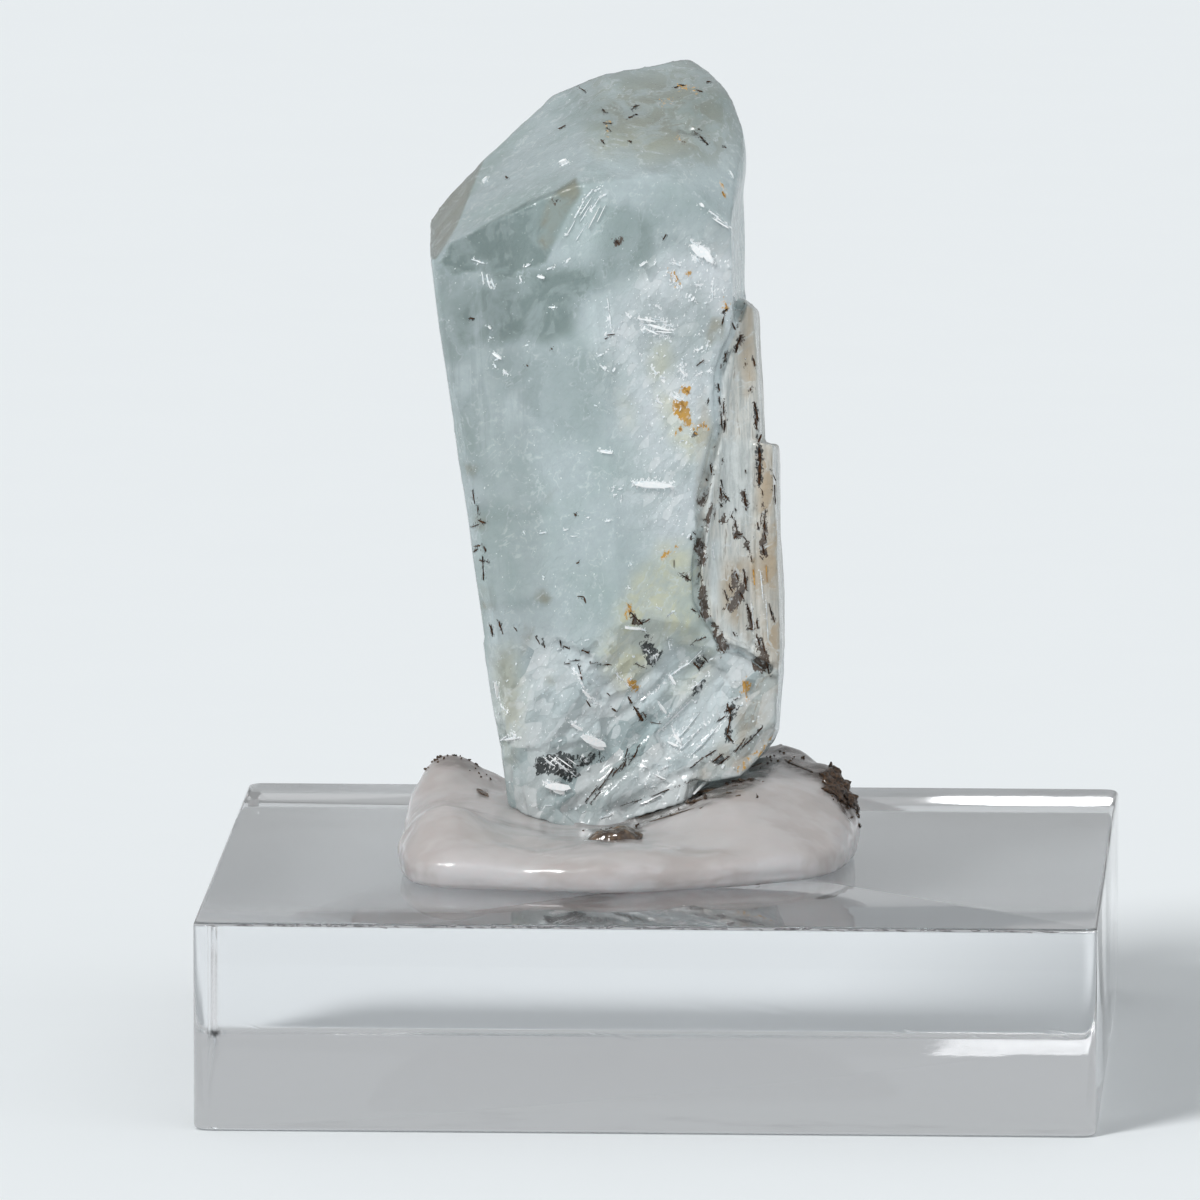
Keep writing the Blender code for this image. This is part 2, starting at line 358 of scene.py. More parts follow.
@dataclass(frozen=True)
class View:
    """The view that the camera has and that the marks on the specimen are drawn in.

    Marks are written in pixels across and down a square image of this view. They are read in
    millimetres, as they measure at the distance of the aim.

    Attributes:
        azimuth: How far the viewer stands to the right of straight ahead, in degrees.
        elevation: How far the viewer looks down, in degrees.
        distance: How far the viewer is from the aim.
        aim: What the viewer looks at.
        lens: The focal length.
        sensor: The width of the sensor.
        pixels: The width of the image, in pixels.
        hairline: Up to this width, in pixels, a stroke looks much broader than it is.
        hairline_share: The true share of a hairline's drawn width.
        broad_share: The true share of a broader stroke's drawn width.
        tip_row: Above this row the marks are finer still.
        tip_share: The share of their width that they keep there.
    """

    azimuth: float = 2.7
    elevation: float = 8.48
    distance: float = 634.7
    aim: Point3 = (-1.84, 0.0, 13.25)
    lens: float = 666.6
    sensor: float = 36.0
    pixels: float = 1200.0
    hairline: float = 3.2
    hairline_share: float = 0.6
    broad_share: float = 0.85
    tip_row: float = 160.0
    tip_share: float = 0.75

    def back(self) -> Vector:
        """The way from the aim to the viewer."""
        turn, rise = math.radians(self.azimuth), math.radians(self.elevation)
        return Vector((math.sin(turn) * math.cos(rise), -math.cos(turn) * math.cos(rise), math.sin(rise)))

    def station(self) -> Vector:
        """Where the viewer is."""
        return Vector(self.aim) + self.back() * self.distance

    def sides(self) -> tuple[Vector, Vector]:
        """The ways to the right and up in the image."""
        right = Vector((0.0, 0.0, 1.0)).cross(self.back()).normalized()
        return right, self.back().cross(right)

    def scale(self) -> float:
        """How many pixels a millimetre takes at the distance of the aim."""
        return self.pixels * self.lens / self.sensor / self.distance

    def middle(self) -> float:
        """How far the middle of the image is from its left and its top."""
        return 0.5 * self.pixels / self.scale()

    def seen_at(self, points: np.ndarray) -> np.ndarray:
        """Where points are seen in the image.

        Args:
            points: Points as rows of x, y, z.

        Returns:
            Rows of how far across and down each one is.
        """
        right, up = (np.array(way) for way in self.sides())
        apart = points - np.array(self.station())
        depth = -(apart @ np.array(self.back())) / self.distance
        across = self.middle() + (apart @ right) / depth
        down = self.middle() - (apart @ up) / depth
        return np.column_stack((across, down))

    def touch(self, piece: Piece, across: float, down: float) -> Optional[tuple[Vector, Vector]]:
        """Finds where a place in the image lies on a piece.

        Args:
            piece: The piece.
            across: How far across the place is.
            down: How far down it is.

        Returns:
            The point and how the piece faces there, or nothing where the piece isn't seen.
        """
        right, up = self.sides()
        way = right * (across - self.middle()) + up * (self.middle() - down) - self.back() * self.distance
        hit, place, normal, _ = piece.ray_cast(self.station(), way.normalized())
        return (place, normal) if hit else None

    def outline(self, written: str) -> tuple[Point2, ...]:
        """Reads an outline.

        Args:
            written: Its corners, each as across,down in pixels.

        Returns:
            The corners.
        """
        corners = []
        for corner in written.split():
            across, down = (float(value) / self.scale() for value in corner.split(","))
            corners.append((across, down))
        return tuple(corners)

    def strokes(self, written: str) -> tuple[Stroke, ...]:
        """Reads strokes.

        Args:
            written: The strokes, each as across,down,across,down,width in pixels.

        Returns:
            The strokes, with the widths that they really have.
        """
        strokes = []
        for stroke in written.split():
            drawn = [float(value) for value in stroke.split(",")]
            share = self.hairline_share if drawn[4] <= self.hairline else self.broad_share
            if drawn[1] < self.tip_row:
                share *= self.tip_share
            x0, y0, x1, y1, width = (value / self.scale() for value in drawn)
            strokes.append((x0, y0, x1, y1, width * share))
        return tuple(strokes)


def smooth_step(low: float, high: float, values: np.ndarray) -> np.ndarray:
    """Rises smoothly from 0 at low to 1 at high."""
    share = np.clip((values - low) / (high - low), 0.0, 1.0)
    return share * share * (3.0 - 2.0 * share)


class Sheet:
    """A material's node sheet, written from its first node to its last."""

    mixed_inputs = 6, 7
    mixed_output = 2

    def __init__(self, name: str) -> None:
        """Makes an empty material of that name."""
        self.material = bpy.data.materials.new(name)
        self.material.use_nodes = True
        self.tree = self.material.node_tree
        self.tree.nodes.clear()

    def add(self, kind: str, **settings: object) -> Node:
        """Adds a node.

        Args:
            kind: Its type, without the leading ShaderNode.
            **settings: Its settings.

        Returns:
            The node.
        """
        node = self.tree.nodes.new(f"ShaderNode{kind}")
        for name, value in settings.items():
            setattr(node, name, value)
        return node

    def feed(self, socket: Socket, value: Input) -> None:
        """Links a socket to another, or sets its value.

        Args:
            socket: The socket.
            value: A number, a colour, a direction or the socket that it is linked to.
        """
        if isinstance(value, Socket):
            self.tree.links.new(value, socket)
        elif isinstance(value, tuple) and len(value) == 3 and socket.type == "RGBA":
            socket.default_value = (*value, 1.0)
        else:
            socket.default_value = value

    def fill(self, node: Node, **values: Input) -> None:
        """Feeds a node's inputs, each by its name with underscores."""
        for name, value in values.items():
            self.feed(node.inputs[name.replace("_", " ")], value)

    def place(self) -> Socket:
        """Reads the place on the piece.

        Returns:
            The place, in millimetres.
        """
        mapping = self.add("Mapping", vector_type="POINT")
        self.fill(mapping, Vector=self.add("TexCoord").outputs["Object"], Scale=(UNITS_PER_METRE,) * 3)
        return mapping.outputs["Vector"]

    def attribute(self, name: str) -> Socket:
        """A value that the piece's mesh keeps."""
        return self.add("Attribute", attribute_name=name).outputs["Fac"]

    def sums(
        self, operation: str, first: Input, second: Input = 0.0, third: Optional[Input] = None,
        clamp: bool = False,
    ) -> Socket:
        """A Math node.

        Args:
            operation: Its operation.
            first: A number or a socket.
            second: A number or a socket.
            third: A number or a socket, where the operation has three.
            clamp: Whether the result stays between 0 and 1.

        Returns:
            Its result.
        """
        node = self.add("Math", operation=operation, use_clamp=clamp)
        self.feed(node.inputs[0], first)
        self.feed(node.inputs[1], second)
        if third is not None:
            self.feed(node.inputs[2], third)
        return node.outputs[0]

    def stretched(self, place: Socket, stretch: Point3, lean: float = 0.0, turn: float = 0.0) -> Socket:
        """The place in a frame that is leaned and stretched, so that a pattern on it is too.

        Args:
            place: The place on the piece.
            stretch: How much longer the pattern gets along each way.
            lean: How far its height leans towards +X, in degrees.
            turn: How far it is turned about its height, in degrees.

        Returns:
            The place in that frame.
        """
        mapping = self.add("Mapping", vector_type="TEXTURE")
        turns = (0.0, math.radians(lean), math.radians(turn))
        self.fill(mapping, Vector=place, Rotation=turns, Scale=stretch)
        return mapping.outputs["Vector"]

    def noise(self, place: Socket, size: float, detail: float, roughness: float, bend: float = 0.0) -> Node:
        """A cloudy pattern.

        Args:
            place: Where it is read.
            size: The size of its lumps, in millimetres.
            detail: How many finer layers it has.
            roughness: How strong those layers are.
            bend: How much it is distorted.

        Returns:
            The node, for its value or its colour.
        """
        node = self.add("TexNoise")
        self.fill(node, Vector=place, Scale=1.0 / size, Detail=detail, Roughness=roughness, Distortion=bend)
        return node

    def ramp(self, value: Input, low: float, high: float, first: float = 0.0, last: float = 1.0) -> Socket:
        """Maps a value smoothly from one range to another.

        Args:
            value: The value.
            low: Where the range starts.
            high: Where it ends.
            first: The result at and before its start.
            last: The result at and after its end.

        Returns:
            The mapped value.
        """
        node = self.add("MapRange", interpolation_type="SMOOTHSTEP")
        self.fill(node, Value=value, From_Min=low, From_Max=high, To_Min=first, To_Max=last)
        return node.outputs["Result"]

    def tint(self, share: Input, first: Input, second: Input) -> Socket:
        """Mixes two colours.

        Args:
            share: How much of the second there is.
            first: A colour or a socket.
            second: A colour or a socket.

        Returns:
            The mixed colour.
        """
        node = self.add("Mix", data_type="RGBA", clamp_factor=True)
        self.fill(node, Factor=share)
        for number, colour in zip(self.mixed_inputs, (first, second)):
            self.feed(node.inputs[number], colour)
        return node.outputs[self.mixed_output]

    def vectors(self, operation: str, first: Input, second: Input, third: Optional[Input] = None) -> Node:
        """A Vector Math node.

        Args:
            operation: Its operation.
            first: A direction or a socket.
            second: A direction or a socket.
            third: A direction or a socket, where the operation has three.

        Returns:
            The node, for its vector or its value.
        """
        node = self.add("VectorMath", operation=operation)
        for socket, value in zip(node.inputs, (first, second, third)):
            if value is not None:
                self.feed(socket, value)
        return node

    def shaken(self, place: Socket, size: float, reach: float) -> Socket:
        """The place, moved about by a cloudy pattern, so that what is drawn there has a broken edge.

        Args:
            place: The place on the piece.
            size: The size of the pattern's lumps.
            reach: How far it moves a place.

        Returns:
            The moved place.
        """
        shift = self.noise(place, size, 2.0, 0.6).outputs["Color"]
        moved = self.vectors("MULTIPLY_ADD", shift, (2.0 * reach,) * 3, place)
        return self.vectors("SUBTRACT", moved.outputs["Vector"], (reach,) * 3).outputs["Vector"]

    def surface(self, colour: Input, roughness: Input, **values: Input) -> Node:
        """Adds the Principled shader and the output.

        Args:
            colour: The base colour.
            roughness: The roughness.
            **values: Any other inputs, by their names with underscores.

        Returns:
            The shader.
        """
        shader = self.add("BsdfPrincipled")
        self.fill(shader, Base_Color=colour, Roughness=roughness, **values)
        self.fill(self.add("OutputMaterial"), Surface=shader.outputs[0])
        return shader

    def bump(self, height: Input, strength: float, reach: float) -> Socket:
        """A bumped normal.

        Args:
            height: The height, from 0 to 1.
            strength: How strong it is.
            reach: How high 1 is, in millimetres.

        Returns:
            The normal.
        """
        node = self.add("Bump")
        self.fill(node, Strength=strength, Distance=reach / UNITS_PER_METRE, Height=height)
        return node.outputs["Normal"]

    def absorb(self, colour: Colour, density: float) -> None:
        """Fills the piece with a clear tint.

        Args:
            colour: The tint.
            density: How strong it is, per metre.
        """
        volume = self.add("VolumeAbsorption")
        self.fill(volume, Color=colour, Density=density)
        output = next(node for node in self.tree.nodes if node.type == "OUTPUT_MATERIAL")
        self.fill(output, Volume=volume.outputs[0])


class Stain(Enum):
    """Marks on the stone, and painted shade and light: colour, edge softness in millimetres, and edge
    raggedness.
    """

    # Painted shade, with the painted dark reflection of the tip inside the stone and a few darker smudges
    SHADE = (screen(132, 149, 145), 0.30, 0.0)
    # Pale patches and veils, and painted light on ridges, edges and over the shade along the lath crack
    PALE_AND_PAINTED_LIGHT = (screen(234, 245, 248), 0.22, 0.0)
    YELLOW = (screen(240, 235, 196), 0.40, 0.0)
    CREAM = (screen(196, 176, 148), 0.25, 0.0)
    OLIVE = (screen(158, 152, 128), 0.10, 0.0)
    OCHRE = (screen(198, 146, 30), 0.16, 2.4)
    BROWN = (screen(70, 46, 24), 0.13, 3.0)
    BLACK = (screen(10, 12, 12), 0.12, 3.0)

    @property
    def colour(self) -> Colour:
        """Its colour."""
        return self.value[0]

    @property
    def softness(self) -> float:
        """How far its edge fades."""
        return self.value[1]

    @property
    def raggedness(self) -> float:
        """How much its edge is broken up."""
        return self.value[2]


@dataclass(frozen=True)
class Zone:
    """A zone that is drawn in the view.

    Attributes:
        strength: How strong its effect is, or how high it stands.
        outline: Its corners, each as across,down in pixels of the view.
        softness: How far its edge fades, or nothing where it fades as its stain does.
    """

    strength: float
    outline: str
    softness: Optional[float] = None

    @staticmethod
    def read(written: str) -> tuple["Zone", ...]:
        """Reads zones.

        Args:
            written: The zones, each as strength or strength/softness and its corners, with ; between them.

        Returns:
            The zones.
        """
        zones = []
        for zone in written.split(";"):
            first, *corners = zone.split()
            strength, _, softness = first.partition("/")
            zones.append(Zone(float(strength), " ".join(corners), float(softness) if softness else None))
        return tuple(zones)


# Forms that are both toned, partly with painted light, and raised or sunk
RIGHT_SHELL = "668,752 655,735 700,690 722,672 735,690 728,715 715,745 690,758"
UPPER_SHELL = "556,640 590,655 612,690 605,705 585,700 566,668"
SHOULDER_FAN = "594,188 606,196 604,215 596,232 586,250 572,254 560,250 568,232 578,212 586,196"

# Tones and stains on the stone, with painted shade and painted light
ZONES: dict[Stain, tuple[Zone, ...]] = {
    # Painted shade and the painted dark reflection of the tip, with a few darker smudges
    Stain.SHADE: Zone.read("""
1.0/0.05 575,179 556,190 530,200 500,216 462,238 450,243 441,262 452,276 480,270 500,284 520,270 545,264
556,240 568,215 581,192;
0.8 612,212 628,203 642,212 654,224 657,248 648,272 605,285 598,262 606,235;
1.0 446,300 470,285 520,272 600,262 604,285 580,302 572,335 545,345 520,340 490,348 456,350;
0.5 560,85 580,84 600,98 640,110 600,118 570,104;
0.55/0.7 590,80 680,66 725,100 720,130 700,160 640,160 600,140 560,110;
0.8 466,305 480,300 484,318 474,326 464,320;
0.8 572,285 585,270 603,268 600,285 588,299 574,297;
0.6 545,312 560,308 575,318 566,328 550,326;
0.3 455,395 478,395 474,420 462,450 458,430;
0.5/0.8 446,262 480,284 505,300 500,390 475,470 458,420;
0.6 460,465 480,463 475,480 466,477;
0.6 482,602 520,600 545,598 545,604 515,607 482,609;
0.6 575,750 600,745 612,750 606,762 588,768 574,766;
0.5 600,775 640,735 655,740 648,765 610,800 585,812 590,795;
0.4 470,500 500,509 526,513 546,506 540,514 520,519 485,526;
0.35 640,480 690,466 694,476 660,484;
0.55/0.15 436,262 462,272 470,330 462,400 448,400 438,330;
0.4/0.4 640,205 700,190 735,205 735,250 700,262 650,250;
0.12/0.4 480,178 570,120 620,130 600,168 560,182 500,212 470,230;
0.5/0.5 500,350 610,345 625,380 600,440 540,430 500,400;
0.5/0.4 640,300 700,280 720,320 700,380 650,385 630,340
"""),
    Stain.OLIVE: Zone.read("""
0.8 575,179 562,188 548,198 540,225 552,235 566,215 581,192;
0.7 548,228 556,240 545,250 536,240;
0.8 536,590 545,589 552,597 548,604 540,602 533,598;
0.6 524,624 533,628 530,645 522,655 520,640;
0.35 546,494 556,488 553,500 546,505;
0.7 482,602 495,601 494,609 482,609;
0.4 480,585 492,588 493,600 482,598;
0.45 690,152 702,150 704,157 694,160;
0.6/0.8 590,84 690,64 735,110 725,160 690,165 640,150 600,140;
0.7 712,318 722,318 726,330 722,343 714,342 706,350 706,335;
0.5 545,675 556,678 554,685 546,684;
0.3 495,655 512,645 520,690 518,720 508,722 500,700;
0.6 465,465 478,465 475,478 467,476;
0.4 474,515 486,518 488,530 476,530;
0.4 436,215 458,185 474,180 452,232 436,252
"""),
    Stain.YELLOW: Zone.read("""
0.85 622,600 636,575 655,562 662,545 682,545 692,560 700,580 700,605 706,632 698,648 680,640 665,632
660,650 645,668 625,690 610,672 600,650 612,625;
0.5 655,345 668,345 672,370 662,385 652,370;
0.7 660,390 680,395 690,430 706,425 710,440 704,456 690,456 676,440 664,420;
0.5 698,655 712,650 700,690 680,700 672,690;
0.45 495,650 512,640 522,690 520,740 512,760 503,745 497,700;
0.3 590,135 640,125 690,140 650,160 600,155;
0.3 620,395 630,405 633,425 624,425
"""),
    Stain.CREAM: Zone.read("""
0.45/0.1 697,400 706,387 712,430 708,490 704,545 697,545 696,480;
1.0/0.1 750,556 756,556 758,600 752,618;
1.0/0.1 764,548 770,570 769,600 763,590;
0.8 745,303 755,308 757,400 745,395 738,360 742,330;
1.0 757,440 778,443 783,600 782,700 766,700 756,600 757,520;
0.8 745,560 757,560 765,620 770,655 758,640 748,600;
0.9 718,560 745,560 748,640 722,610;
0.7 735,690 775,668 778,745 760,760 745,772 730,768 736,730;
0.6 700,765 720,745 735,745 730,768 690,790
"""),
    Stain.OCHRE: Zone.read("""
1.0 673,400 680,399 688,405 690,418 690,430 684,424 679,418 672,410;
1.0 681,386 688,387 690,394 682,393;
0.65 693,422 708,424 708,432 702,428 698,434 692,430;
0.8 676,428 683,427 681,435 674,433;
0.8 668,268 676,272 681,284 676,287 670,278;
0.7 685,270 691,270 691,276 685,276;
0.8 723,299 730,301 728,311 722,309;
0.6 660,556 668,549 677,543 679,549 669,556 661,561;
0.7 741,680 749,677 752,690 747,700 741,693;
0.9 624,677 634,680 640,688 632,692;
0.42 733,772 748,755 760,745 776,726 777,742 760,758 742,774;
0.6 624,603 632,603 635,616 627,620;
0.6 674,86 680,84 690,85 698,89 699,94 690,90 678,90;
0.45 601,122 608,120 613,124 609,132 607,140 601,142 605,130;
0.55 671,136 684,137 686,143 678,142;
0.6 718,182 724,180 728,196 723,198;
0.3 656,98 675,96 674,104 656,111
"""),
    Stain.BROWN: Zone.read("""
1.0 694,539 699,537 704,545 708,560 705,567 700,568 698,556 694,550;
0.8 698,500 706,492 712,483 707,500 703,510 697,504;
0.9 712,502 716,508 709,517 716,516 710,521 707,532 703,525 707,516;
1.0 702,577 708,598 709,615 705,622 699,614 699,598;
1.0 711,619 719,630 729,645 725,653 720,657 716,640;
1.0 749,656 761,657 768,668 762,674 752,665;
1.0 732,572 738,571 737,582 740,592 743,570 747,571 745,592 739,606 731,611 721,608 729,600 734,592
730,585;
0.9 741,491 747,491 749,508 743,506;
0.9 734,520 738,529 742,538 734,540;
0.75 743,534 750,546 751,556 745,548;
0.9 763,503 768,535 766,556 759,548 762,530;
0.85 746,601 752,612 755,629 749,631 745,615;
0.9 756,635 763,645 767,655 770,668 760,662 756,648;
0.7 721,514 728,516 726,525 720,523;
0.7 719,489 728,498 722,507;
0.8 679,573 690,572 693,582 686,583;
0.9 629,613 636,616 642,624 633,625;
0.7 554,199 560,199 558,204 551,204;
0.8 600,139 605,140 604,145 600,143;
0.7 681,139 686,140 684,144 680,142;
0.9 693,432 698,432 698,436 693,436;
0.7 613,239 622,238 622,245 614,247;
0.7 740,334 745,336 738,353 735,349;
0.8 701,574 703,566 700,560
"""),
    Stain.BLACK: Zone.read("""
1.0 641,642 648,640 654,648 662,652 660,660 653,665 646,662 644,652;
0.7 643,632 650,633 652,640 645,640;
1.0 534,764 538,757 550,754 562,753 575,757 573,765 580,775 570,782 556,776 546,774 536,775;
0.6 575,757 590,754 605,750 606,760 590,766 576,768;
0.8 692,660 699,656 705,663 700,671;
0.9 691,694 697,682 704,679 704,686 697,695;
0.6 713,763 720,752 725,758 717,768;
0.7 723,706 732,700 740,707 734,718 730,735 733,742 727,744 725,735 729,720;
0.8 754,401 759,412 758,431 754,428;
0.9 757,436 762,450 761,484 757,470
"""),
    # Pale patches and veils, with painted highlights and light painted over the shade along the lath crack
    Stain.PALE_AND_PAINTED_LIGHT: Zone.read(f"""
0.35 486,556 504,556 506,645 492,645;
1.0 720,318 730,318 728,343 724,387 715,450 708,506 706,545 696,545 697,506 704,450 712,387 718,343;
0.42 {SHOULDER_FAN};
0.6 590,295 607,292 612,330 604,350 590,350;
0.5 470,258 484,262 494,286 484,288 478,270;
0.6 445,365 478,362 486,395 450,398;
0.45 541,678 530,690 523,705 524,735 540,752 580,745 600,735 600,700 580,680 560,672;
1.0 {RIGHT_SHELL};
0.8 {UPPER_SHELL};
0.9 711,541 720,541 719,607 712,600;
0.7 625,700 660,650 672,640 676,660 668,690 650,715;
0.6 600,812 650,785 700,765 680,745 640,765 605,795;
0.45 478,258 484,330 494,380 500,470 478,450 468,380;
0.6 500,400 520,390 530,420 505,430;
0.6 725,625 745,630 752,655 735,648;
0.5 715,440 752,440 755,520 725,520;
0.4 600,80 620,88 660,92 640,104 610,100;
0.4 720,155 738,152 736,172 722,176;
0.4 600,186 640,198 650,205 620,200;
0.12 480,178 570,120 640,112 660,128 600,168 560,182 500,212 470,230 456,236
"""),
}

# Where the front of the stone is etched
ETCHED = (
    "640,258 700,235 740,240 746,290 738,330 722,370 716,430 708,480 700,520 690,545 655,545 640,500 "
    "632,430 612,380 600,345 625,300"
)

# Flat steps of the fractures, raised or sunk by their strength in millimetres
STEPS: tuple[Zone, ...] = Zone.read(f"""
0.09 541,678 526,692 522,715 525,748 545,752 600,735 610,700 590,675 560,668;
-0.12 {RIGHT_SHELL};
-0.1 {UPPER_SHELL};
-0.12 600,700 640,690 655,720 650,735 600,775 560,800 545,795 575,770 605,745;
-0.1 668,640 700,650 720,672 700,690 670,690 655,670;
0.1 600,812 650,785 700,765 740,745 775,725 776,700 745,700 700,745 640,765 600,795;
-0.05 {SHOULDER_FAN};
0.05 478,640 505,640 522,690 520,760 505,760
""")

# Smoky dirt in the tack
SMOKE: tuple[Zone, ...] = Zone.read("""
0.85 625,822 640,802 662,790 705,776 732,765 760,753 778,742 792,750 778,770 756,785 732,797 705,806
683,811 655,822 640,828;
0.9 762,730 780,730 797,740 812,756 834,768 822,784 798,774 778,764 764,752;
1.0 818,766 842,768 860,785 862,812 851,822 838,806 824,788;
1.0 586,841 591,829 613,822 636,822 644,831 624,841 607,845;
0.6 574,816 590,810 606,822 596,832 580,828;
0.5 428,755 455,754 492,760 500,770 470,770 436,766;
0.8 477,789 488,790 488,798 479,797;
0.4 690,790 712,788 726,797 712,805 694,802
""")

# Small breaks in the stone, painted white as the glints of light that they catch
GLINTS = """
562,164,567,162,4 484,183,488,179,3 472,259,484,263,2 482,272,484,284,2 487,275,490,288,2
491,280,495,288,2 520,276,522,282,2 526,266,530,264,3 548,269,552,267,3 566,262,569,259,3
538,275,543,277,3 549,307,555,307,2.5 607,298,609,314,1.4 609,314,611,331,1.8 607,334,614,333,2.5
625,312,630,318,3 637,318,652,321,2 652,321,668,322,1.8 640,323,655,327,2.2 655,327,671,330,2
645,328,657,333,2.2 657,333,668,336,2 650,318,660,320,1.5 662,324,672,326,1.8 672,262,680,265,2.6
641,265,644,262,3 657,305,660,309,2 494,352,500,357,3 495,360,499,358,2.5 494,364,496,367,3
503,371,508,374,3 489,326,490,327,2.5 490,337,491,338,2.5 527,344,528,345,2.2 598,356,602,354,3
600,365,605,369,3 693,243,700,250,4 697,250,704,256,5 700,246,708,252,4 704,254,712,262,4
708,256,714,259,3 694,256,699,262,3 690,240,694,244,2.5 709,211,718,217,2.4 716,217,724,223,2.6
724,223,731,228,2.4 712,218,720,223,1.6 700,204,702,205,3 730,172,733,178,2.5 633,483,650,482,4
650,482,664,484,4.5 664,484,673,486,2.4 640,487,660,489,2.2 600,450,612,452,3 655,400,662,404,2.6
672,395,680,400,3.4 680,368,684,376,3.4 681,362,683,366,2.4 652,367,656,374,2.2 661,377,665,378,3
672,272,677,280,2.2 676,282,680,288,2 690,297,692,300,2 696,284,700,286,2.4 546,782,566,786,5
553,788,563,791,5 586,736,600,742,6 590,744,602,745,4 572,724,580,728,4 568,722,575,724,2.5
497,681,499,697,2.4 496,688,500,698,2 502,705,508,713,2.4 501,740,508,736,2.6 507,739,518,738,3.4
512,733,516,736,2.4 500,745,504,740,2 675,735,680,742,3.5 672,728,676,738,2.6 668,742,676,746,2.4
583,690,590,697,3 579,676,584,688,3 590,700,596,704,2.6 571,668,580,676,2.6 625,626,640,628,2
640,628,646,630,1.6 667,616,674,611,2.6 671,675,674,684,3 660,704,665,712,3 668,640,670,650,1.8
615,672,622,680,2 625,683,630,688,2 606,521,610,520,2.8 523,532,525,533,2 540,533,546,532,2.6
564,530,568,529,2.8 595,405,597,406,2.4 630,563,631,564,2.6 543,576,544,577,2.6 586,518,589,517,2
618,489,622,488,2 613,495,616,494,2 612,488,615,487,1.6 621,495,622,500,1.6 570,536,578,536,1.4
628,588,630,588,2.2 656,607,662,610,2 712,542,714,560,1.2 690,790,712,780,1.6 640,805,660,795,1.8
600,818,612,814,2 545,806,552,805,1.8 655,775,664,780,2.6 648,788,655,786,1.8 660,770,668,766,2
668,676,690,662,1.2 690,662,702,650,1.2 640,700,668,680,1.4 660,730,690,700,1.2 672,745,700,712,1.2
680,750,712,716,1.2 690,757,722,722,1.2 690,690,712,672,1.2 585,198,592,190,1.2 574,218,584,200,1.4
566,236,575,220,1.4 580,222,590,206,1.2 590,212,600,196,1.4 576,240,588,222,1.2 602,196,606,194,2
596,190,600,188,2 545,760,553,766,1.6 551,758,560,765,1.6 558,763,568,772,1.8 567,769,575,776,1.8
582,757,588,762,1.6 647,650,650,653,1.6 655,655,656,660,1.6 744,290,745,300,1.4 712,300,713,284,1.4
706,350,708,340,1.8 696,350,702,348,2 698,374,702,372,2 708,372,711,370,2 760,570,763,600,1.4
766,600,768,640,1.4 752,602,755,640,1.2
"""

# Flakes that stand off the stone, painted white as bright glints of light
GLINT_FLAKES = """
548,786,567,787,9 553,789,562,792,6 584,737,602,743,10 592,745,602,747,5 692,246,700,255,8
700,248,710,260,9 636,484,670,485,7 648,324,668,330,3.4 637,318,655,321,2.8 655,331,671,332,2.6
646,329,658,334,2.4 600,451,612,453,3 572,724,581,729,4 675,735,680,742,4 562,164,567,162,4.4
668,742,677,746,3.4 583,690,590,697,3.4 625,627,641,628,2.6 712,218,728,228,2.8 497,682,499,696,2.6
507,739,518,738,3 670,676,675,683,3.4 655,775,664,780,3 690,790,712,780,2 640,804,660,795,2
494,353,501,358,3.6 700,204,702,206,3.6 539,276,544,277,3.4 543,757,556,767,1.8 549,756,566,769,1.8
557,757,572,768,1.8 566,757,576,764,1.6 484,182,488,179,3 489,326,491,328,3 679,368,684,375,3
600,205,588,228,1.4 592,196,579,216,1.4 606,204,597,222,1.4 660,704,665,712,3.4 641,265,645,262,3
693,297,691,300,3
"""

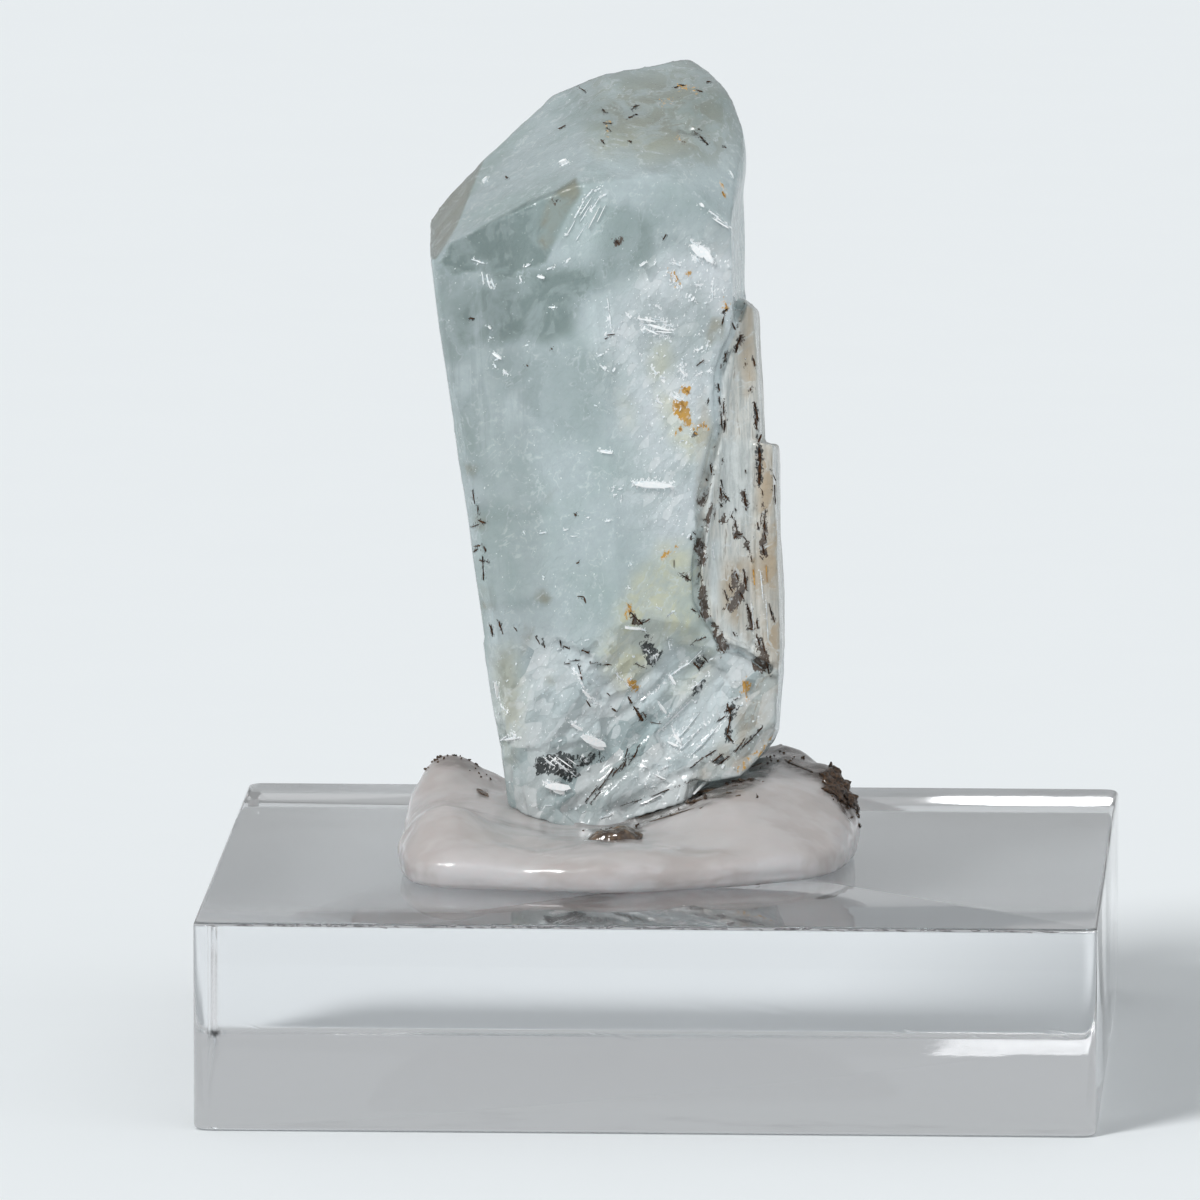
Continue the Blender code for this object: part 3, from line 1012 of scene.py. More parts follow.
# Dark dirt in scratches and cracks
SCRATCHES = """
490,625,493,634,2.2 499,621,503,634,2.4 514,627,517,631,1.5 535,636,540,644,1.6 543,640,545,648,1.4
560,640,561,647,2 564,646,570,649,1.6 582,650,588,652,1.8 578,665,580,670,2 580,671,582,680,2.4
586,700,590,706,1.8 612,708,616,711,1.8 607,693,610,696,1.8 578,596,584,597,2.2 584,597,586,603,1.6
630,612,636,618,2 636,618,642,624,2 640,624,650,619,1.4 634,618,632,624,1.6 628,697,632,704,2
634,707,638,713,3 638,713,642,720,3.4 642,712,646,717,1.8 635,663,645,668,1.4 650,722,662,724,1.2
570,661,580,660,1 590,663,612,665,1 697,641,705,637,1 690,645,696,640,1 693,662,699,668,2
700,668,704,662,2 703,656,708,662,1.6 728,704,731,716,2.6 724,712,735,708,2 731,716,727,735,2.4
727,735,733,742,2.6 716,722,725,716,1.4 735,700,740,696,1.4 705,757,716,750,2 713,762,722,754,2.4
735,752,745,738,2 742,747,752,738,2 752,738,762,727,1.6 718,765,730,756,1.6 690,768,704,757,1.4
598,790,606,780,1.4 606,780,614,768,1.6 612,776,624,762,1.6 622,770,630,752,1.4 628,765,638,750,1.4
585,802,598,786,1.2 590,804,600,792,1.2 634,758,640,744,1.2 625,758,628,748,1.2 700,800,730,786,1
620,806,650,797,1 650,797,700,778,1 660,792,690,782,1 478,520,486,523,2 472,527,479,524,1.6
475,546,484,545,2 484,546,486,551,2 474,552,478,549,1.8 478,505,478,514,1.2 473,490,475,504,1.2
483,556,484,580,1 480,560,488,562,1.4 556,201,557,202,2 506,177,507,178,2.4 527,365,528,366,2
551,348,552,349,2 663,240,666,234,2 616,241,619,244,2.4 607,335,614,334,2 605,339,607,338,1.6
470,318,474,319,2.6 564,664,570,663,1 577,563,579,562,2 574,513,576,516,2 576,84,580,88,2
580,88,586,92,1.6 707,82,710,82,3 680,85,684,86,2.4 634,107,638,106,2.8 632,110,634,108,1.6
629,118,632,117,2.6 635,115,637,115,2.2 629,141,631,142,2.6 694,133,700,137,2 700,137,708,145,3.2
698,129,700,130,2 602,109,606,113,1.6 603,123,612,124,1.6 606,128,611,131,1.4 601,141,604,143,2.2
674,88,678,87,2 696,90,702,92,1.6 724,147,726,148,1.6 559,129,565,126,1.4 732,320,733,329,2.2
723,312,727,309,2.6 722,324,724,316,2 741,335,738,343,2.4 738,343,735,352,3 727,352,724,363,1.8
718,384,719,390,3 719,396,720,405,1.6 723,400,724,415,1.6 721,412,722,430,2 725,420,724,432,2.6
696,366,704,360,1.6 709,400,707,404,1.6 745,362,746,366,1.6 753,358,754,366,2.2 750,388,751,391,1.6
754,402,756,412,2.4 756,412,757,420,2.6 755,420,757,430,2.4 758,436,759,448,2.4 759,448,760,462,3.6
760,462,759,484,3.4 711,465,712,473,2 706,479,707,481,2.4 722,460,723,462,1.4 745,470,746,473,1.6
721,480,723,488,1.8 720,488,721,496,1.6 724,494,728,500,2.4 720,503,722,507,1.6 744,492,745,500,2.8
744,500,747,507,2.8 745,507,746,511,1.2 735,508,736,512,1.6 731,515,733,519,1.2 735,522,737,532,1.8
735,534,742,534,1.8 734,538,736,536,2.2 743,536,747,542,1.6 747,546,750,552,1.6 751,556,752,562,1.6
758,522,759,530,1.8 765,508,765,520,1.2 764,520,765,530,2.4 764,532,766,540,2.2 762,545,765,556,2.2
760,556,762,559,1.4 762,490,763,495,1.4 774,485,775,505,1.2 772,470,774,480,1.4 693,532,695,534,2
691,536,691,540,2.4 674,560,674,568,1.4 682,575,690,580,2 690,609,697,612,2 744,570,746,590,2.6
740,592,744,600,2 736,574,738,580,1.8 729,585,732,592,1.6 724,590,727,600,1.2 747,604,750,614,1.8
750,614,753,627,2.2 757,620,758,628,1.8 748,628,754,630,1.4 733,632,735,636,2 769,604,773,620,1.6
757,636,760,646,2 762,640,765,652,2 766,662,770,676,2 773,615,774,622,1.4
"""

# Rusty grains on the stone
RUST_GRAINS = """
680,402,684,406,2 676,404,679,407,1.6 679,428,682,430,1.8 684,388,686,390,2.4 687,390,689,393,2
695,433,697,434,2.4 703,424,706,427,1.8 676,276,678,280,2 688,272,690,273,2 725,303,727,307,2.2
722,192,724,196,2 745,682,746,696,1.4 754,570,755,585,1.4 766,565,767,582,1.2 627,682,634,688,1.8
628,604,632,612,1.8
"""

# Heaps of crumbs on the tack: middle, reach, how many crumbs there are and how big they are
CRUST_HEAPS: tuple[Heap, ...] = (
    ((5.05, 0.2, 8.0), (0.5, 0.9, 0.8), 60, 0.42),
    ((5.3, 0.6, 7.3), (0.3, 0.6, 0.4), 26, 0.26),
    ((0.9, -2.4, 7.75), (1.2, 0.25, 0.3), 20, 0.26),
    ((2.4, -1.4, 8.25), (0.8, 0.3, 0.2), 14, 0.24),
)
DIRT_HEAPS: tuple[Heap, ...] = (
    ((5.2, 0.2, 7.6), (0.7, 1.0, 0.9), 30, 0.1),
    ((-6.3, 1.6, 8.8), (1.4, 0.6, 0.3), 26, 0.11),
    ((-4.8, 1.4, 8.3), (0.8, 0.8, 0.3), 10, 0.08),
    ((3.2, 1.4, 8.6), (0.8, 0.8, 0.3), 16, 0.1),
    ((-1.5, -2.6, 7.3), (0.5, 0.3, 0.3), 12, 0.1),
    ((2.8, -4.8, 6.1), (0.5, 0.2, 0.1), 5, 0.07),
)

# Brown smears on the tack
SMEARS = """
640,817,668,806,5 668,806,700,795,7 700,795,735,783,8 735,783,770,766,8 690,803,730,792,5
724,776,760,764,6 650,822,700,806,2.6 700,808,740,795,2.6 745,790,775,776,4 780,738,800,757,7
800,757,826,771,6 785,760,812,772,4 478,790,487,796,6 430,757,455,755,4 455,756,492,761,3.6
760,884,754,884,2
"""


def drawn_zones(seen: np.ndarray, zones: Sequence[Zone], view: View, softness: float) -> np.ndarray:
    """How strongly places are in any of the drawn zones.

    Args:
        seen: Where the places are seen, one row each.
        zones: The zones.
        view: The view that they are drawn in.
        softness: How far the edge of a zone fades that has no softness of its own.

    Returns:
        A strength from 0 to 1 for each place.
    """
    drawn = np.zeros(len(seen))
    for zone in zones:
        soft = zone.softness or softness
        depth = Plan.inside(seen, view.outline(zone.outline))
        drawn = np.maximum(drawn, zone.strength * smooth_step(-soft, soft, depth))
    return drawn


@dataclass(frozen=True)
class StoneFinish:
    """Milky pale blue stone, see-through in its depth, with clouds, veils, stains, painted shade and painted
    glints.

    Attributes:
        body: The tint of the clear stone.
        cloud: The greener tint of its clouds.
        frost: The paler, cooler tint where it is etched.
        chip_shaded: The painted shade of the most shaded chips of the broken foot.
        chip_lit: The painted light on the most lit chips of the broken foot.
        sparkle: The painted highlight on the chips that catch the light.
        lath_grey: The greyer fibres of the laths.
        lath_cream: Their creamy fibres.
        lath_brown: Their brown fibres.
        facet: The small darker facet at the upper left.
        speck: The dirt round the scratches.
        glint: The painted light round the painted glints.
        veil: The thin veils in the stone.
        hollow: The duller tint of its fine hollows.
        see_through: How much of the light goes into the stone.
        refraction: Its index of refraction.
        tint: The colour that light takes in its depth.
        tint_density: How strong that tint is, per metre.
        stain_cover: How much of the stone a ragged stain hides.
    """

    body: Colour = screen(210, 222, 224)
    cloud: Colour = screen(192, 208, 206)
    frost: Colour = screen(244, 248, 252)
    chip_shaded: Colour = screen(190, 210, 212)
    chip_lit: Colour = screen(253, 255, 255)
    sparkle: Colour = screen(252, 254, 255)
    lath_grey: Colour = screen(196, 200, 198)
    lath_cream: Colour = screen(238, 237, 230)
    lath_brown: Colour = screen(120, 98, 74)
    facet: Colour = screen(156, 158, 148)
    speck: Colour = screen(44, 27, 12)
    glint: Colour = screen(252, 253, 254)
    veil: Colour = screen(240, 247, 249)
    hollow: Colour = screen(140, 156, 158)
    see_through: float = 0.5
    refraction: float = 1.62
    tint: Colour = (0.6, 0.8, 0.84)
    tint_density: float = 40.0
    stain_cover: float = 0.97

    def make(self) -> Material:
        """Makes the stone's material.

        Returns:
            The material.
        """
        layers = StoneLayers(self)
        layers.lay_body()
        layers.lay_chips()
        layers.lay_laths()
        layers.lay_stains()
        layers.lay_specks()
        layers.lay_veils()
        layers.lay_cracks()
        sheet = layers.sheet
        clear, rough, normal = layers.clearness(), layers.roughness(), layers.relief()
        sheet.surface(layers.colour, rough, IOR=self.refraction, Transmission_Weight=clear, Normal=normal)
        sheet.absorb(self.tint, self.tint_density)
        return sheet.material


class StoneLayers:
    """The stone's node sheet, on which its tints and marks are laid one over another."""

    small_chip = 0.2
    large_chip = 0.6

    def __init__(self, finish: StoneFinish) -> None:
        """Reads the stone's patterns and the zones that its mesh keeps.

        Args:
            finish: The stone's tints and values.
        """
        self.finish = finish
        self.sheet = Sheet("milky topaz")
        self.place = self.sheet.place()
        self.wide = self.pattern(2.6, 3.0, 0.6)
        self.fine = self.pattern(0.28, 4.0, 0.72)
        self.fibres = self.pattern(0.14, 3.0, 0.6, 9.0, -2.0)
        self.mottle = self.pattern(0.8, 3.0, 0.65, 1.4, 30.0, 0.5)
        self.grit = self.pattern(0.13, 3.0, 0.75, 1.8, 12.0)
        self.crisp = self.pattern(0.07, 2.0, 0.6, 1.5, 20.0)
        self.small_chips, self.sparkle = self.chips(self.small_chip)
        self.large_chips, self.shade = self.chips(self.large_chip)
        sums, attribute = self.sheet.sums, self.sheet.attribute
        etched = attribute("etched_zone")
        self.broken = attribute("broken_zone")
        self.worn = sums("MAXIMUM", etched, self.broken)
        self.frosted = sums("MULTIPLY", sums("MAXIMUM", etched, sums("MULTIPLY", self.broken, 0.7)), 0.8)
        frayed = sums("MULTIPLY_ADD", self.mottle, 0.5, -0.25)
        self.lath = self.sheet.ramp(sums("ADD", attribute("lath"), frayed), -0.03, 0.05)
        self.colour = finish.body
        self.dull = sums("MULTIPLY", self.lath, 0.5)

    def pattern(
        self, size: float, detail: float, roughness: float, stretch: float = 1.0, lean: float = 0.0,
        bend: float = 0.0,
    ) -> Socket:
        """A cloudy pattern on the stone.

        Args:
            size: The size of its lumps, in millimetres.
            detail: How many finer layers it has.
            roughness: How strong those layers are.
            stretch: How many times longer than wide its lumps are.
            lean: How far their long way leans towards +X, in degrees.
            bend: How much it is distorted.

        Returns:
            The pattern, from 0 to 1.
        """
        stretched = stretch != 1.0
        place = self.sheet.stretched(self.place, (1.0, 1.0, stretch), lean) if stretched else self.place
        return self.sheet.noise(place, size, detail, roughness, bend).outputs["Fac"]

    def chips(self, size: float) -> tuple[Socket, Socket]:
        """Small flat chips, each tilted its own way.

        Args:
            size: How wide a chip is.

        Returns:
            Their height, and a shade from 0 to 1 for each chip.
        """
        leaning = self.sheet.stretched(self.place, (1.0, 1.0, 2.0), 40.0)
        cells = self.sheet.add("TexVoronoi")
        self.sheet.fill(cells, Vector=leaning, Scale=1.0 / size)
        offset = self.sheet.vectors("SUBTRACT", leaning, cells.outputs["Position"])
        tilt = self.sheet.vectors("SUBTRACT", cells.outputs["Color"], (0.5, 0.5, 0.5))
        height = self.sheet.vectors("DOT_PRODUCT", offset.outputs["Vector"], tilt.outputs["Vector"])
        shade = self.sheet.add("SeparateColor")
        self.sheet.fill(shade, Color=cells.outputs["Color"])
        return height.outputs["Value"], shade.outputs["Red"]

    def lay(self, share: Input, colour: Input) -> None:
        """Lays a colour over what is there, by the share that says how much of it shows."""
        self.colour = self.sheet.tint(share, self.colour, colour)

    def lay_body(self) -> None:
        """Clouds the stone, and frosts it where it is etched or broken."""
        self.lay(self.sheet.ramp(self.wide, 0.4, 0.68), self.finish.cloud)
        patchy = self.sheet.ramp(self.wide, 0.35, 0.6, 1.0, 0.55)
        self.lay(self.sheet.sums("MULTIPLY", self.frosted, patchy), self.finish.frost)

    def lay_chips(self) -> None:
        """Paints each chip of the broken foot lighter or darker as painted shade, and a few small ones with a
        painted highlight.
        """
        # Painted light and shade, a tone for each chip of the broken foot
        glassy = self.sheet.tint(self.shade, self.finish.chip_shaded, self.finish.chip_lit)
        self.lay(self.sheet.sums("MULTIPLY", self.broken, 0.8), glassy)
        # A painted highlight on a few small chips
        half_worn = self.sheet.sums("MULTIPLY", self.worn, 0.5)
        sparkling = self.sheet.sums("MULTIPLY", self.sheet.ramp(self.sparkle, 0.8, 0.84), half_worn)
        self.lay(sparkling, self.finish.sparkle)

    def lay_laths(self) -> None:
        """Bands the laths with fibres, and tints the small facet."""
        sheet, finish = self.sheet, self.finish
        bands = sheet.tint(sheet.ramp(self.fibres, 0.32, 0.6), finish.lath_grey, finish.lath_cream)
        bands = sheet.tint(sheet.ramp(self.fibres, 0.6, 0.68, 0.0, 0.55), bands, finish.lath_brown)
        self.lay(self.lath, bands)
        self.lay(sheet.ramp(sheet.attribute("left_facet"), -0.02, 0.05, 0.0, 0.8), finish.facet)

    def lay_stains(self) -> None:
        """Lays the drawn tones, stains, painted shade and painted light; ragged ones are dirt that light
        doesn't pass.
        """
        for stain in Stain:
            mask = self.mask(stain)
            self.lay(mask, stain.colour)
            if stain.raggedness:
                self.dull = self.sheet.sums("MAXIMUM", self.dull, mask)

    def mask(self, stain: Stain) -> Socket:
        """Where a stain is, with a clouded body or a broken edge.

        Args:
            stain: The stain.

        Returns:
            The mask.
        """
        sheet = self.sheet
        drawn = sheet.attribute(stain.name.lower())
        if stain is Stain.PALE_AND_PAINTED_LIGHT:
            return sheet.sums("MULTIPLY", drawn, sheet.ramp(self.fibres, 0.36, 0.6, 0.45, 1.0))
        if not stain.raggedness:
            least = 0.6 if stain is Stain.SHADE else 0.35
            return sheet.sums("MULTIPLY", drawn, sheet.ramp(self.mottle, 0.38, 0.6, least, 1.0))
        broken = sheet.sums("MULTIPLY_ADD", self.grit, stain.raggedness, -0.5 * stain.raggedness)
        inside = sheet.sums("MULTIPLY", sheet.ramp(drawn, 0.02, 0.2), sheet.sums("ADD", drawn, broken))
        return sheet.ramp(inside, 0.42, 0.56, 0.0, self.finish.stain_cover)

    def lay_specks(self) -> None:
        """Frays the dirt round the scratches and the painted light round the painted glints."""
        sheet = self.sheet
        near_dirt = sheet.sums("MULTIPLY_ADD", sheet.attribute("dirt_near"), 0.4, self.crisp)
        self.lay(sheet.ramp(near_dirt, 0.74, 0.8, 0.0, 0.9), self.finish.speck)
        # Painted light round the glints
        near_glint = sheet.sums("MULTIPLY_ADD", sheet.attribute("glint_near"), 0.26, self.crisp)
        near_glint = sheet.sums("MULTIPLY_ADD", self.frosted, 0.09, near_glint)
        glint = sheet.ramp(near_glint, 0.7, 0.78, 0.0, 0.85)
        self.lay(glint, self.finish.glint)
        self.dull = sheet.sums("MAXIMUM", self.dull, glint)

    def lay_veils(self) -> None:
        """Lays thin pale veils along the middle of the mottled pattern, fewer in the shaded zones."""
        sheet = self.sheet
        apart = sheet.sums("ABSOLUTE", sheet.sums("SUBTRACT", self.mottle, 0.5))
        clearing = sheet.sums("MULTIPLY_ADD", sheet.attribute("shade"), -0.8, 1.0)
        veiled = sheet.sums("MULTIPLY", sheet.ramp(apart, 0.0, 0.03, 0.6, 0.0), clearing)
        self.lay(sheet.sums("MULTIPLY", veiled, sheet.ramp(self.fine, 0.42, 0.62)), self.finish.veil)

    def lay_cracks(self) -> None:
        """Lays a thin, broken line of dirt in the cracks, and dulls the fine hollows."""
        sheet = self.sheet
        width = sheet.ramp(self.fine, 0.42, 0.66, -0.05, 0.05)
        apart = sheet.sums("SUBTRACT", sheet.attribute("crack_near"), width)
        self.lay(sheet.ramp(apart, -0.02, 0.02, 0.85, 0.0), Stain.BROWN.colour)
        self.lay(sheet.ramp(self.fine, 0.3, 0.72, 0.16, 0.0), self.finish.hollow)

    def clearness(self) -> Socket:
        """How much of the light goes into the stone at each place.

        Returns:
            The share, less where the stone is frosted or dull.
        """
        most = self.finish.see_through
        dull = self.sheet.sums("MULTIPLY_ADD", self.frosted, 0.45, self.dull)
        return self.sheet.sums("MULTIPLY_ADD", dull, -most, most, clamp=True)

    def roughness(self) -> Socket:
        """The roughness, which follows the mottled pattern."""
        return self.sheet.ramp(self.mottle, 0.3, 0.7, 0.08, 0.24)

    def relief(self) -> Socket:
        """Tilts the chips and adds the finest grain.

        Returns:
            The bumped normal.
        """
        sheet = self.sheet
        small = sheet.sums("MULTIPLY", self.small_chips, sheet.ramp(self.worn, 0.1, 0.9, 0.05, 0.4))
        large = sheet.sums("MULTIPLY", self.large_chips, sheet.ramp(self.broken, 0.1, 0.9, 0.03, 0.5))
        height = sheet.sums("MULTIPLY_ADD", self.crisp, 0.012, sheet.sums("ADD", small, large))
        return sheet.bump(height, 1.0, 1.0)


# The crack between the stone and its laths, from the top down, as x and z
LATH_CRACK: tuple[Point2, ...] = (
    (2.42, 22.29), (2.05, 21.07), (1.81, 20.61), (1.65, 20.07), (1.65, 18.56), (1.34, 17.31),
    (1.14, 16.28), (1.17, 15.7), (1.0, 14.43), (1.05, 13.53), (1.39, 12.85), (1.76, 12.17), (2.28, 11.97),
    (3.12, 11.41),
)


@dataclass
class Crystal:
    """The topaz crystal: a prism with a worn tip, laths along its right side and a broken foot.

    Attributes:
        voxel: How fine its surface is cut.
        lean: How far its upright edges lean towards +X, in degrees.
        laths: The outline of the laths, as x and z.
        cracks: The cracks beside and between the laths.
        left_facet: The outline of the small darker facet at the upper left.
        broken: The outline of the broken foot.
        worn_edges: Edges on the front that are worn round.
        shoulder_rise: How far the right shoulder is filled out before it is worn round.
        wear: The regions that are worn round, and how many times each is smoothed.
        front_reach: How far back the drawn marks go.
        front_face: About where the broken foot faces the viewer.
        view: The view that the marks are drawn in.
    """

    voxel: float = 0.1
    lean: float = -7.5
    laths: tuple[Point2, ...] = LATH_CRACK + ((4.0, 11.3), (4.0, 22.6))
    cracks: tuple[tuple[Point2, ...], ...] = (
        LATH_CRACK,
        ((2.6, 20.38), (2.66, 18.77), (2.7, 16.55), (2.54, 14.33), (2.6, 12.52)),
    )
    left_facet: tuple[Point2, ...] = (
        (-5.2, 25.75), (-6.4, 25.0), (-7.0, 24.6), (-6.7, 23.3), (-6.4, 23.3), (-5.8, 24.25),
    )
    broken: tuple[Point2, ...] = (
        (-4.9, 11.6), (-3.4, 12.3), (-2.0, 12.6), (-0.6, 12.7), (1.2, 12.5), (3.6, 11.6), (3.6, 7.0),
        (-4.2, 6.5),
    )
    worn_edges: tuple[tuple[Point2, ...], ...] = (
        LATH_CRACK[1:7],
        (
            (-1.39, 12.02), (-1.21, 12.59), (-0.81, 12.94), (-0.3, 13.04), (0.2, 13.0), (0.71, 12.83),
            (1.1, 12.45),
        ),
    )
    shoulder_rise: float = 0.16
    wear: tuple[tuple[str, int], ...] = (("shoulder", 60), ("worn_tip", 16), ("worn_edges", 8))
    front_reach: float = 0.6
    front_face: float = -2.5
    view: View = View()

    def build(self) -> Piece:
        """Builds the stone with its surface relief.

        Returns:
            The piece.
        """
        piece = Bench.copy_solid("topaz_crystal", "topaz_crystal_stone")
        sharp = Bench.copy_solid("topaz_crystal", "sharp_guide")
        Bench.modify(piece, "REMESH", mode="VOXEL", voxel_size=self.voxel)
        Bench.modify(piece, "SHRINKWRAP", target=sharp, wrap_method="NEAREST_SURFACEPOINT")
        bpy.data.objects.remove(sharp, do_unlink=True)
        Bench.modify(piece, "SMOOTH", factor=0.4, iterations=1)
        self.draw_regions(piece)
        Bench.modify(piece, "DISPLACE", strength=self.shoulder_rise, mid_level=0.0, vertex_group="shoulder")
        for region, rounds in self.wear:
            Bench.modify(piece, "SMOOTH", factor=0.5, iterations=rounds, vertex_group=region)
        self.cut_steps(piece)
        for relief in self.reliefs():
            relief.press(piece)
        self.keep_zones(piece)
        Bench.smooth(piece)
        return piece

    def reliefs(self) -> tuple[Relief, ...]:
        """The layers of relief on the stone."""
        return (
            Relief(2.4, 0.08, octaves=1),
            Relief(0.30, 0.03, "sides", stretch=12.0, lean=self.lean),
            Relief(0.5, 0.04, "etched", octaves=3, creased=True),
            Relief(0.20, 0.12, "laths", stretch=14.0, lean=-1.0),
            Relief(0.70, 0.14, "broken", stretch=4.0, lean=46.0, octaves=1, creased=True),
            Relief(0.30, 0.04, "broken", stretch=2.5, lean=48.0, octaves=2),
            Relief(0.9, 0.10, "tip", octaves=3),
        )

    def draw_regions(self, piece: Piece) -> None:
        """Marks the vertices that each layer of relief keeps to.

        Args:
            piece: The piece.
        """
        points = Bench.points(piece)
        normals = Bench.directions(piece)
        upright_plane = points[:, (0, 2)]
        lath = smooth_step(-0.05, 0.2, Plan.inside(upright_plane, self.laths))
        front = smooth_step(0.3, -0.3, normals[:, 1])
        broken = smooth_step(-0.7, 1.0, Plan.inside(upright_plane, self.broken)) * front
        etched_depth = Plan.inside(self.view.seen_at(points), self.view.outline(ETCHED))
        etched = smooth_step(-1.0, 0.9, etched_depth) * front * (1.0 - lath)
        shoulder = smooth_step(0.2, 1.2, points[:, 0]) * smooth_step(24.6, 25.8, points[:, 2])
        worn_tip = smooth_step(24.8, 26.6, points[:, 2])
        upright = smooth_step(0.6, 0.25, np.abs(normals[:, 2]))
        tip = smooth_step(0.25, 0.6, normals[:, 2]) * smooth_step(22.0, 24.0, points[:, 2])
        from_edges = np.min([Plan.distance(upright_plane, path) for path in self.worn_edges], axis=0)
        Bench.mark(piece, "shoulder", shoulder)
        Bench.mark(piece, "worn_tip", worn_tip)
        Bench.mark(piece, "worn_edges", smooth_step(0.5, 0.2, from_edges) * front)
        Bench.mark(piece, "laths", lath)
        Bench.mark(piece, "broken", broken)
        Bench.mark(piece, "etched", etched)
        Bench.mark(piece, "sides", upright * (1.0 - broken) * (1.0 - lath))
        Bench.mark(piece, "tip", tip)
        Bench.keep(piece, "etched_zone", etched)
        Bench.keep(piece, "broken_zone", broken)

    def cut_steps(self, piece: Piece) -> None:
        """Raises or sinks the flat steps of the fractures, each with a sharp edge.

        Args:
            piece: The piece.
        """
        for number, step in enumerate(STEPS):
            points = Bench.points(piece)
            depth = Plan.inside(self.view.seen_at(points), self.view.outline(step.outline))
            name = f"step_{number}"
            front = points[:, 1] < self.front_reach
            Bench.mark(piece, name, np.where(front, smooth_step(-0.06, 0.06, depth), 0.0))
            Bench.modify(piece, "DISPLACE", strength=step.strength, mid_level=0.0, vertex_group=name)

    def keep_zones(self, piece: Piece) -> None:
        """Keeps the drawn zones for the finish to read.

        Args:
            piece: The piece.
        """
        points = Bench.points(piece)
        seen = self.view.seen_at(points)
        upright_plane = points[:, (0, 2)]
        front = self.seen_from_front(points, Bench.directions(piece))
        for stain, zones in ZONES.items():
            Bench.keep(piece, stain.name.lower(), drawn_zones(seen, zones, self.view, stain.softness) * front)
        Bench.keep(piece, "dirt_near", self.near_strokes(seen, self.view.strokes(SCRATCHES)) * front)
        # Where the painted light round the glints goes
        Bench.keep(piece, "glint_near", self.near_strokes(seen, self.view.strokes(GLINTS)) * front)
        cracks = np.min([Plan.distance(upright_plane, path) for path in self.cracks], axis=0)
        Bench.keep(piece, "crack_near", np.where(front, cracks, 9.0))
        Bench.keep(piece, "lath", Plan.inside(upright_plane, self.laths))
        Bench.keep(piece, "left_facet", Plan.inside(upright_plane, self.left_facet))

    def seen_from_front(self, points: np.ndarray, normals: np.ndarray) -> np.ndarray:
        """Where the drawn marks are: the front, and at the tip also the faces that slope to the back."""
        faces_front = (points[:, 1] < self.front_reach) & (normals[:, 1] < -0.2)
        return faces_front | ((points[:, 2] > 22.5) & (normals[:, 2] > 0.15))

    @staticmethod
    def near_strokes(places: np.ndarray, strokes: Sequence[Stroke], reach: float = 0.14) -> np.ndarray:
        """How near places are to any stroke, stronger for broad ones.

        Args:
            places: Places in the view, one row each.
            strokes: The strokes.
            reach: How far from a stroke's edge the value falls to 0.

        Returns:
            A value from 0 to 1 for each place.
        """
        nearest = np.zeros(len(places))
        for x0, y0, x1, y1, width in strokes:
            apart = Plan.distance(places, ((x0, y0), (x1, y1)))
            strength = min(1.0, 0.45 + 6.0 * width)
            nearest = np.maximum(nearest, strength * smooth_step(reach + 0.5 * width, 0.0, apart))
        return nearest


@dataclass(frozen=True)
class MineralFinish:
    """A plain mineral, dirt or painted glint, clouded by a fine pattern.

    Attributes:
        name: The material's name.
        light: Its lighter colour.
        dark: Its darker colour.
        roughness: Its roughness.
        coat: How much clear coat it has.
        grain: The size of its clouds.
        shine: How strongly it mirrors, where 0.5 is as glass does.
        coat_roughness: The coat's roughness.
    """

    name: str
    light: Colour
    dark: Colour
    roughness: float
    coat: float = 0.0
    grain: float = 0.09
    shine: float = 0.5
    coat_roughness: float = 0.05

    def make(self) -> Material:
        """Makes the material.

        Returns:
            The material.
        """
        sheet = Sheet(self.name)
        pattern = sheet.noise(sheet.place(), self.grain, 2.0, 0.6).outputs["Fac"]
        colour = sheet.tint(sheet.ramp(pattern, 0.35, 0.65), self.dark, self.light)
        coat = {"Coat_Weight": self.coat, "Coat_Roughness": self.coat_roughness}
        sheet.surface(colour, self.roughness, Specular_IOR_Level=self.shine, **coat)
        return sheet.material


